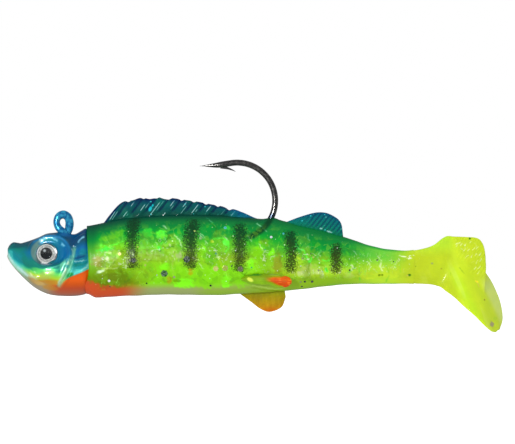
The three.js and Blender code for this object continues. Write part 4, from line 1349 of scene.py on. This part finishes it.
def left_pelvic():
    """The near fin lies back along the flank and stands away from it at its tip."""
    upper = [(36.9, -11.5), (38.7, -10.9), (40.4, -10.68), (42.6, -10.66), (45, -10.9),
             (46.5, -11.25), (47.15, -11.9)]
    lower = [(37.0, -12.1), (38.8, -12.75), (40.6, -12.95), (42.4, -12.95), (44.4, -13.4),
             (46.2, -13.3), (47.1, -12.6)]
    upper, lower = spline(upper, 90), spline(lower, 90)
    v = np.linspace(0, 1, 34)
    grid = []
    for u, a, b in zip(np.linspace(0, 1, 90), upper, lower):
        line = a + (b - a) * v[:, None]
        middle = -4.35 - 1.7 * u ** 1.2 - 0.45 * np.sin(math.pi * v)
        ray = 0.012 * np.sin(2 * math.pi * 5 * v)
        half = (0.5 - 0.22 * u) * np.sqrt(np.clip(1.01 - (2 * v - 1) ** 6, 0, 1)) + ray
        half *= math.sqrt(max(1.02 - u ** 14, 0.05))
        grid.append(slab(line, middle, half))
    obj = tube_mesh("left_pelvic_skin", np.array(grid)[:, ::-1])
    x, _, z = places(obj).T
    colour = ramp((z + 14) / 3.2, [(0, (140, 176, 34)), (0.5, (122, 172, 38)), (1, (118, 148, 30))])
    low = -12.0 - 0.24 * (x - 42) - 0.35 * smoothstep(43, 45, x)
    high = -11.45 + 0.05 * (x - 42)
    wedge = np.minimum(high - z, z - low) + 0.5 * smoothstep(45, 46.6, x)
    wedge = wedge + 0.13 * soft_noise(0.5 * x, z, 0.5, 53)
    tip = smoothstep(-0.2, 0.18, wedge) * smoothstep(41.6, 43.6, x)
    grain = soft_noise(0.3 * x, z + 0.12 * x, 0.28, 55)
    orange = mix(np.array((200, 74, 12.0)), (214, 94, 20), smoothstep(-12.4, -11.5, z))
    orange = mix(orange, (232, 128, 60), 0.6 * smoothstep(0.3, 0.9, grain))
    orange = mix(orange, (184, 92, 10), 0.6 * smoothstep(-0.3, -0.9, grain))
    colour = mix(colour, (166, 134, 20), 0.7 * smoothstep(-0.5, 0.1, wedge) * smoothstep(41, 43, x))
    colour = mix(colour, orange, tip)
    colour = mix(colour, (40, 116, 44), 0.85 * smoothstep(-11.2, -10.85, z) * smoothstep(41.5, 40, x))
    # painted highlight along the fin's upper edge
    colour = mix(colour, (132, 166, 84), 0.6 * smoothstep(-11.1, -10.85, z) * smoothstep(42, 43, x))
    flake = patch(x, z, 38.7, -11.85, 0.75, 0.42, -28)
    colour = mix(colour, (222, 238, 92), 0.9 * flake)
    set_paint(obj, colour)
    return obj


# ---------------------------------------------------------------- the head

head_top, head_bottom, head_half = [smooth_line(p) for p in (HEAD_TOP, HEAD_BOTTOM, HEAD_HALF)]

GILL_LINE = [(2.75, -5.6), (2.5, -7.6), (1.9, -9.5), (0.9, -11.4), (-0.35, -13.1)]
MOUTH_LINE = [(-11, -7.2), (-9.6, -8.9), (-8.2, -10.1), (-6.6, -11), (-5, -11.6)]
PLATE_EDGE = [(-0.3, -12.9), (1.9, -11.4), (4.1, -10.5), (6.3, -9.4)]


def socket_distance(x, z):
    return np.hypot((x - SOCKET[0]) / SOCKET_HALF[0], (z - SOCKET[1]) / SOCKET_HALF[1])


def head_relief(x, z, flat):
    """How far the sculpted head stands out from its loft; flat is 1 on the flanks."""
    socket = socket_distance(x, z)
    eye = np.hypot(x - FISH_EYE_X, z - FISH_EYE_Z) / FISH_EYE_R
    relief = -0.8 * smoothstep(1.0, 0.72, socket)
    brow = 0.12 + 0.88 * smoothstep(-7.5, -4.2, z)
    relief = relief + 0.34 * bump(socket, 1.05, 0.1) * brow
    relief = relief + 0.3 * bump(eye, 1.13, 0.09)
    relief = relief + 0.35 * np.exp(-(((x + 3.2) / 2.6) ** 2) - ((z + 11) / 1.1) ** 2)
    creases = [
        (0.3, 0.55, MOUTH_LINE), (-0.3, 0.5, moved(MOUTH_LINE, 0.9, 0.95)),
        (-0.42, 0.3, GILL_LINE), (0.22, 0.4, moved(GILL_LINE, -0.7)),
        (0.2, 0.35, moved(GILL_LINE, 0.7)), (0.16, 0.35, PLATE_EDGE),
    ]
    for k in range(3):
        rib = [(2.9 - 0.2 * k, -6.8 - 1.1 * k), (4.2, -6.5 - 1.05 * k), (5.6, -6.0 - 1.05 * k)]
        creases += [(0.14, 0.26, rib), (-0.16, 0.24, moved(rib, 0, -0.6))]
    for k in range(2):
        fold = [(1.8 + 0.9 * k, -4.8 - 0.2 * k), (3.2 + 0.7 * k, -3.5), (5.0, -2.5 - 0.4 * k)]
        creases.append((0.18, 0.28, fold))
    for height, width, line in creases:
        relief = relief + height * ridge(x, z, line, width)
    return relief * flat * smoothstep(5.6, 4.7, x)


def head_paint(x, z):
    """Airbrushed: dark on top, teal sides, a green to amber cheek, a pearl chin, orange throat; with
    painted shade in the socket's lower wall and along the top edge, and painted highlights on the
    brow and lip.
    """
    depth = (head_top(x) - z) / (head_top(x) - head_bottom(x)) + 0.03 * soft_noise(x, z, 2, 61)
    nose = ramp(depth, [(0, SLATE), (0.2, JADE), (0.4, TEAL), (0.6, TEAL), (0.75, AQUA),
                        (0.9, SEA_GLINT), (1, PEARL)])
    cheek = ramp(depth, [(0, NAVY), (0.12, SLATE), (0.25, BLUE), (0.45, JADE), (0.57, JADE),
                         (0.64, APPLE), (0.72, PALE_LIME), (0.79, AMBER), (0.9, PEARL),
                         (1, PEARL)])
    nape = ramp(depth, [(0, NAVY), (0.15, SLATE), (0.3, BLUE), (0.5, TEAL), (0.62, AQUA),
                        (0.7, TEAL), (0.85, JADE)])
    colour = mix(nose, cheek, smoothstep(-9, -5.5, x))
    colour = mix(colour, nape, smoothstep(0.2, 2, x))
    below_plate = z - smooth_line(PLATE_EDGE)(x)
    under = smoothstep(0.12, -0.12, below_plate) * smoothstep(-4, 0.2, x)
    orange = ramp((z + 15.4) / 5, [(0, BRICK), (0.35, RUST), (0.7, ORANGE), (1, ORANGE)])
    colour = mix(colour, orange, under)
    socket = socket_distance(x, z)
    inside = smoothstep(1.0, 0.9, socket)
    hollow = ramp((x + 6.3) / 7.4, [(0, STEEL), (0.25, STEEL), (0.5, TEAL), (1, BLUE)])
    # painted shade in the lower wall of the eye socket
    low_wall = smoothstep(-7.2, -8.8, z) * smoothstep(0.6, 0.9, socket)
    hollow = mix(hollow, SLATE, 0.6 * low_wall)
    colour = mix(colour, hollow, inside)
    # a blue brow ridge with a painted sky-blue highlight on it
    brow = bump(socket, 1.05, 0.09) * smoothstep(-6.4, -4.6, z) * smoothstep(-6.9, -5, x)
    colour = mix(mix(colour, BLUE, 0.95 * brow), SKY, 0.2 * brow)
    back_rim = bump(socket, 1.04, 0.08) * smoothstep(0, 1, x) * smoothstep(-9.5, -6, z)
    colour = mix(colour, BLUE, 0.5 * back_rim)
    colour = mix(colour, SEA_GLINT, 0.7 * ridge(x, z, GILL_LINE, 0.4))
    # painted highlight along the mouth ridge
    colour = mix(colour, ICE, 0.55 * ridge(x, z, MOUTH_LINE, 0.4))
    colour = touch_up(colour, x, z, HEAD_PATCHES, HEAD_LINES, 0.1)
    edge = smoothstep(5.3, 6.1, x) * smoothstep(-10.2, -9.4, z) * smoothstep(-3.4, -5, z)
    colour = mix(colour, ICE, 0.6 * edge)
    # painted shade along the top edge of the head's front
    rim = smoothstep(0.55, 0.1, head_top(x) - z)
    colour = mix(colour, SLATE, 0.7 * rim * smoothstep(0.2, -1, x))
    return mix(colour, BLUE, 0.7 * bump(x, 0.6, 1.7) * smoothstep(-3.4, -2.7, z))


def head():
    rows = np.concatenate([[-11.3, -11.27, -11.2, -11.1], np.arange(-11, 6.7, 0.14)])
    x, angle = np.meshgrid(rows, full_turn(260, -math.pi / 2), indexing="ij")
    tuck = 1 - 0.09 * smoothstep(4.5, 5.6, x)
    middle = (head_top(x) + head_bottom(x)) / 2
    y, z = oval(head_top(x), head_bottom(x), head_half(x) * tuck, angle, 0.12)
    points = np.stack([x, y, middle + (z - middle) * tuck], -1)
    flat = smoothstep(0.15, 0.6, np.abs(np.cos(angle)))
    lift = head_relief(x, z, flat)
    foot = 0.55 * bump(x, 0.35, 1.3) * smoothstep(0.9, 1, np.sin(angle))
    points = points + grid_normals(points) * (lift + foot)[..., None]
    obj = tube_mesh("head_skin", points)
    px, _, pz = places(obj).T
    set_paint(obj, head_paint(px, pz))
    return obj


def collar():
    """The part of the casting that the sleeve grips: a rod with a flared keeper."""
    x, radius = np.array([
        (5, 1.5), (5.2, 1.75), (9, 1.75), (11.7, 2.35), (12, 2.3), (12.05, 1.75), (12.8, 1.7),
        (13, 1.4),
    ]).T[..., None]
    turn = full_turn(40)
    grid = np.stack([x + 0 * turn, radius * np.cos(turn), SHANK_Z + radius * np.sin(turn)], -1)
    obj = tube_mesh("collar_and_keeper", grid[:, ::-1])
    set_paint(obj, np.tile((118, 120, 124), (len(obj.data.vertices), 1)))
    return obj


def eye(side_name, side):
    """The printed disc and its clear cap."""
    turn = full_turn(72)
    arc = np.linspace(0, math.pi / 2, 16)[1:-1]
    radius = FISH_EYE_R * np.concatenate([[0.4, 1, 1], np.cos(arc)])[:, None]
    pieces = []
    for name, height, base, rise in (
        ("eye_print", 0.28, EYE_FOIL_Y - 0.28, 0.0),
        ("eye_cap", 0.12, EYE_FOIL_Y + 0.02, EYE_DOME_H),
    ):
        out = np.concatenate([[0, 0, height], height + rise * np.sin(arc) ** 1.6])[:, None]
        grid = np.stack([
            FISH_EYE_X + radius * np.cos(turn),
            side * (base + out + 0 * turn),
            FISH_EYE_Z + radius * np.sin(turn),
        ], -1)
        grid = grid if side > 0 else grid[:, ::-1]
        pieces.append(tube_mesh(f"{name}_{side_name}", grid))
    return pieces


# ---------------------------------------------------------------- hook and foil


def hook():
    """Wire from the line-tie eye through the head to the point, with the barb."""
    bend = np.linspace(-math.pi / 2, math.radians(98), 60)
    path = [(0.95, 0.3, -2.9), *[(x, 0, SHANK_Z) for x in np.linspace(2.2, 34, 24)]]
    path += [(BEND_X + BEND_R * math.cos(a), 0, BEND_Z + BEND_R * math.sin(a)) for a in bend]
    path += [(33.4, 0, 11.85), (32, 0, 11.64), (30.4, 0, 11.53), (29.2, 0, 11.48), HOOK_POINT]
    path = spline(path, 420)
    near_point = (path[:, 2] > 9) & (path[:, 0] < 33.2)
    taper = np.maximum(smoothstep(28.15, 33.2, path[:, 0]) ** 0.75, 0.05)
    wire = sweep(path, np.where(near_point, taper, 1) * HOOK_WIRE_R, 28, 0.94)
    loop = spline([
        (0.9, 0.4, -3.3), (0.95, 0.44, -2.4), (1.3, 0.42, -1.3), (1.38, 0.34, -0.1),
        (1.02, 0.2, 0.95), (0.1, 0.02, 1.45), (-0.82, -0.16, 1.0), (-1.2, -0.3, 0.05),
        (-1.02, -0.4, -0.9), (-0.45, -0.46, -1.65), (0.4, -0.42, -2.3), (1.0, -0.3, -2.9),
    ], 140)
    turn = np.linspace(0, 1, 140)
    thickness = 0.76 + 0.1 * bump(turn, 0.45, 0.13) + 0.1 * bump(turn, 0.22, 0.12)
    ring = sweep(loop, thickness - 0.08 * bump(turn, 0.68, 0.1), 26)
    barb_path = spline([(32.6, 0, 11.35), (34, 0, 11.0), (35.1, 0, 10.6), (35.65, 0, 10.3)], 30)
    barb = sweep(barb_path, np.linspace(0.42, 0.04, 30), 16, 0.6)
    grids = (("hook_wire", wire), ("line_tie_loop", ring), ("barb", barb))
    return [tube_mesh(name, grid) for name, grid in grids]


def foil_sheets():
    """A crinkled sheet in place of each flat CAD one."""
    sheets = []
    for place in ("front", "rear"):
        for word, side in (("left", -1), ("right", 1)):
            name = f"flash_foil_{place}_{word}"
            low, high = [np.array(c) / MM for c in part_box(name)]
            z = np.linspace(low[2], high[2], 34)
            grid = []
            for x in np.linspace(low[0], high[0], 90):
                line = np.stack([x + 0 * z, z], 1)
                crinkle = 0.1 * soft_noise(line[:, 0], z, 1.1, 61 + side)
                grid.append(slab(line, (low[1] + high[1]) / 2 + crinkle, 0.05))
            obj = tube_mesh(f"crinkled_foil_{place}_{word}", np.array(grid))
            sheets.append((obj, name, "head_and_front" if place == "front" else "middle"))
    return sheets


# ---------------------------------------------------------------- glitter


def surface_frames(x, z, side):
    """Points, normals and tangents on the body at x and z on one flank."""
    middle, half = (back(x) + belly(x)) / 2, (back(x) - belly(x)) / 2
    angle = np.arcsin(np.clip((z - middle) / half, -0.98, 0.98))
    angle = np.where(side < 0, math.pi - angle, angle)

    def point(px, pa):
        y, pz = oval(back(px), belly(px), body_half(px), pa)
        return np.stack([px, y, pz], -1)

    here = point(x, angle)
    along = point(x + 0.05, angle) - here
    around = point(x, angle + 0.01) - here
    along /= np.linalg.norm(along, axis=-1, keepdims=True)
    normal = np.cross(along, around)
    normal /= np.linalg.norm(normal, axis=-1, keepdims=True)
    outward = np.sign((normal * here * [0, 1, 0]).sum(-1, keepdims=True))
    return here, normal * outward, along


def flakes(name, spots):
    """Thin six-sided flakes at (x, z, side, size, (r, g, b)) spots, let into the skin."""
    x, z, side, size = [np.array([s[k] for s in spots], float) for k in range(4)]
    here, normal, along = surface_frames(x, z, side)
    across = np.cross(normal, along)
    turn = full_turn(6)
    vertices, faces, colours = [], [], []
    spin = rng.uniform(0, 1, len(spots))
    for k, spot in enumerate(spots):
        first = len(vertices)
        for lift, r in ((-0.08, 0.5), (0.05, 0.5), (0.075, 0.44)):
            for a in turn + spin[k]:
                vertices.append(here[k] + normal[k] * lift + size[k] * r * (
                    along[k] * math.cos(a) + across[k] * math.sin(a)))
        for ring in range(2):
            for i in range(6):
                a, b = first + ring * 6 + i, first + ring * 6 + (i + 1) % 6
                faces.append([a, b, b + 6, a + 6])
        faces.append([first + 5 - i for i in range(6)])
        faces.append([first + 12 + i for i in range(6)])
        colours += [spot[4]] * 18
    obj = new_object(name, np.array(vertices), faces)
    for polygon in obj.data.polygons:
        polygon.use_smooth = False
    keep_rest(obj)
    set_paint(obj, np.array(colours, float))
    return obj


def random_flakes(low_x, high_x, count):
    kinds = [(0.5, (176, 206, 80)), (0.35, (26, 44, 30)), (0.3, (206, 226, 210)),
             (0.5, (140, 160, 80)), (0.35, (40, 160, 150))]
    spots = []
    for _ in range(count):
        x = rng.uniform(low_x, high_x)
        share = rng.uniform(0.12, 0.86)
        z = float(belly(x) + share * (back(x) - belly(x)))
        size, colour = kinds[rng.choice(len(kinds), p=[0.2, 0.34, 0.22, 0.1, 0.14])]
        spots.append((x, z, rng.choice([-1, 1]), size * rng.uniform(0.6, 1.1), colour))
    return spots


# Flakes of note: x, z, size, colour.
PLACED_FLAKES = [
    (21.2, -10.6, 1.5, (44, 96, 40)), (25.8, -7.7, 1.45, (30, 66, 34)),
    (14.9, -7.9, 1.1, (30, 46, 30)), (12.1, -6.6, 0.7, (250, 224, 120)),
    (9.9, -12.1, 0.6, (244, 248, 240)), (28.6, -3.4, 0.7, (130, 190, 110)),
    (36.7, -9.7, 1.2, (100, 104, 70)), (31.7, -9.6, 1.2, (204, 214, 104)),
    (33.6, -9.5, 1.3, (166, 184, 62)), (30.6, -13.1, 0.5, (20, 36, 20)),
    (49.9, -12.3, 0.5, (20, 34, 16)), (51.4, -12.3, 0.6, (20, 34, 16)),
    (49.3, -13.3, 0.45, (20, 34, 16)), (43.0, -3.2, 0.6, (214, 226, 236)),
    (45.5, -2.5, 0.5, (70, 190, 190)), (33.6, -1.3, 0.7, (60, 190, 190)),
    (38.8, -11.4, 1.1, (214, 240, 80)),
]

# ---------------------------------------------------------------- build

foil_skin = foil_skin_material()
tail_plastic = soft_plastic_material("tail_plastic", 0.16, 0.25)
amber_plastic = soft_plastic_material("pelvic_plastic", 0.35, 0.2)
fin_plastic = fin_material()
head_pearl = head_paint_material()
nickel = hook_material()
eye_print = eye_print_material()
eye_clear = clear_dome_material()
foil_silver = bright_foil_material()
glitter = flake_material()


def place_piece(obj, material, nodes, body=None, bend=None):
    """Gives a piece its finish and hides the CAD nodes it stands for; ties it to the body it follows,
    or, for a piece that spans two bodies, only bakes it in place.
    """
    obj.data.materials.clear()
    obj.data.materials.append(material)
    if nodes:
        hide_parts(*nodes)
    if body:
        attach(obj, body)
    else:
        first, second, (start, stop) = bend
        start, stop = [(x * MM, 0, HINGE_Z) for x in (start, stop)]
        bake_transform(obj)


HINGE_Z = -8 * MM
BODY_BLEND = ("head_and_front", "middle", BODY_BEND)
WAG_BLEND = ("middle", "stem", WAG_BEND)
KICK_BLEND = ("stem", "paddle", KICK_BEND)
FIN_BLEND = ("head_and_front", "left_fin", FIN_BEND)

place_piece(head(), head_pearl, ["head_casting"], "head_and_front")
place_piece(collar(), head_pearl, ["head_casting"], "head_and_front")
for wire_piece in hook():
    place_piece(wire_piece, nickel, ["jig_hook"], "head_and_front")
for eye_side, sign in (("left", -1), ("right", 1)):
    printed, cap = eye(eye_side, sign)
    place_piece(printed, eye_print, [f"eye_foil_{eye_side}"], "head_and_front")
    place_piece(cap, eye_clear, [f"eye_dome_{eye_side}"], "head_and_front")
for sheet, cad_node, sheet_body in foil_sheets():
    place_piece(sheet, foil_silver, [cad_node], sheet_body)

place_piece(body_skin("front_skin", FRONT_SKIN, 0.2, 220), foil_skin,
            ["body_front", "body_middle"], bend=BODY_BLEND)
place_piece(body_skin("rear_skin", REAR_SKIN, 0.18, 170), foil_skin,
            ["body_middle", "tail_stem"], bend=WAG_BLEND)
place_piece(tail_skin(), tail_plastic, ["tail_stem", "paddle_tail"],
            bend=KICK_BLEND)
place_piece(front_dorsal(), fin_plastic, ["dorsal_fin_front"], "head_and_front")
place_piece(rear_dorsal(), fin_plastic, ["dorsal_fin_rear"], bend=BODY_BLEND)
place_piece(left_pelvic(), amber_plastic, ["pelvic_fin_left"], bend=FIN_BLEND)
place_piece(right_pelvic(), amber_plastic, ["pelvic_fin_right"], "right_fin")

front_spots = [(x, z, s, size, c) for x, z, size, c in PLACED_FLAKES for s in (-1, 1)]
place_piece(flakes("glitter_front", front_spots + random_flakes(8, 55, 44)), glitter,
            [], bend=BODY_BLEND)
place_piece(flakes("glitter_rear", random_flakes(56, 72, 10)), glitter, [],
            bend=WAG_BLEND)

# ---------------------------------------------------------------- stage, lights, camera

FLOOR_Z, FLOOR_HALF = -50 * MM, 1.6
VIEW_CENTRE = (40.2 * MM, -0.1 * MM)
VIEW_WIDTH = 106.25 * MM
LENS, SENSOR = 135.0, 36.0
SKY_LOW, SKY_HIGH, SKY_GLOSS = 0.98, 0.66, 0.3


def stage():
    mesh = bpy.data.meshes.new("floor")
    corners = [(a * FLOOR_HALF, b * FLOOR_HALF, FLOOR_Z)
               for a, b in ((-1, -1), (1, -1), (1, 1), (-1, 1))]
    mesh.from_pydata(corners, [], [(0, 1, 2, 3)])
    floor = bpy.data.objects.new("floor", mesh)
    bpy.context.collection.objects.link(floor)
    material, tree, bsdf = new_material("pale_floor")
    bsdf.inputs["Base Color"].default_value = (0.95, 0.95, 0.95, 1)
    bsdf.inputs["Roughness"].default_value = 0.9
    bsdf.inputs["Emission Color"].default_value = (1, 1, 1, 1)
    bsdf.inputs["Emission Strength"].default_value = 0.62
    mesh.materials.append(material)
    floor.visible_diffuse = False
    floor.visible_glossy = False
    world = bpy.data.worlds.new("studio")
    world.use_nodes = True
    tree = world.node_tree
    height = parts(tree, node(tree, "ShaderNodeTexCoord").outputs["Generated"])[2]
    soft = remap(tree, height, -0.6, 0.9, SKY_LOW, SKY_HIGH)
    ray = node(tree, "ShaderNodeLightPath").outputs
    soft = calc(tree, "MULTIPLY", soft, remap(tree, ray["Is Glossy Ray"], 0.0, 1.0, 1.0, SKY_GLOSS))
    seen = ray["Is Camera Ray"]
    strength = node(tree, "ShaderNodeMix", {0: seen, 2: soft, 3: 1.0}).outputs[0]
    tree.links.new(strength, tree.nodes["Background"].inputs[1])
    tree.nodes["Background"].inputs[0].default_value = (1, 1, 1, 1)
    bpy.context.scene.world = world


def area_light(name, place, target, size, power, glints=True):
    light = bpy.data.lights.new(name, "AREA")
    light.shape = "RECTANGLE"
    light.size, light.size_y = size
    light.energy = power
    obj = bpy.data.objects.new(name, light)
    obj.visible_glossy = glints
    obj.location = place
    away = np.array(place) - np.array(target)
    obj.rotation_euler = (
        math.acos(away[2] / np.linalg.norm(away)), 0, math.atan2(away[0], -away[1]),
    )
    bpy.context.collection.objects.link(obj)


def camera():
    data = bpy.data.cameras.new("camera")
    data.lens = LENS
    data.sensor_width = SENSOR
    obj = bpy.data.objects.new("camera", data)
    distance = VIEW_WIDTH * LENS / SENSOR
    obj.location = (VIEW_CENTRE[0], -distance, VIEW_CENTRE[1])
    obj.rotation_euler = (math.pi / 2, 0, 0)
    data.clip_start = 0.01
    bpy.context.collection.objects.link(obj)
    bpy.context.scene.camera = obj


stage()
area_light("top_softbox", (0.02, -0.12, 0.5), (0.04, 0, 0), (0.5, 0.4), 0.7, False)
area_light("front_softbox", (-0.16, -0.5, 0.07), (0.03, 0, -0.01), (0.06, 0.06), 1.2)
camera()
bpy.context.scene.view_settings.view_transform = "Standard"
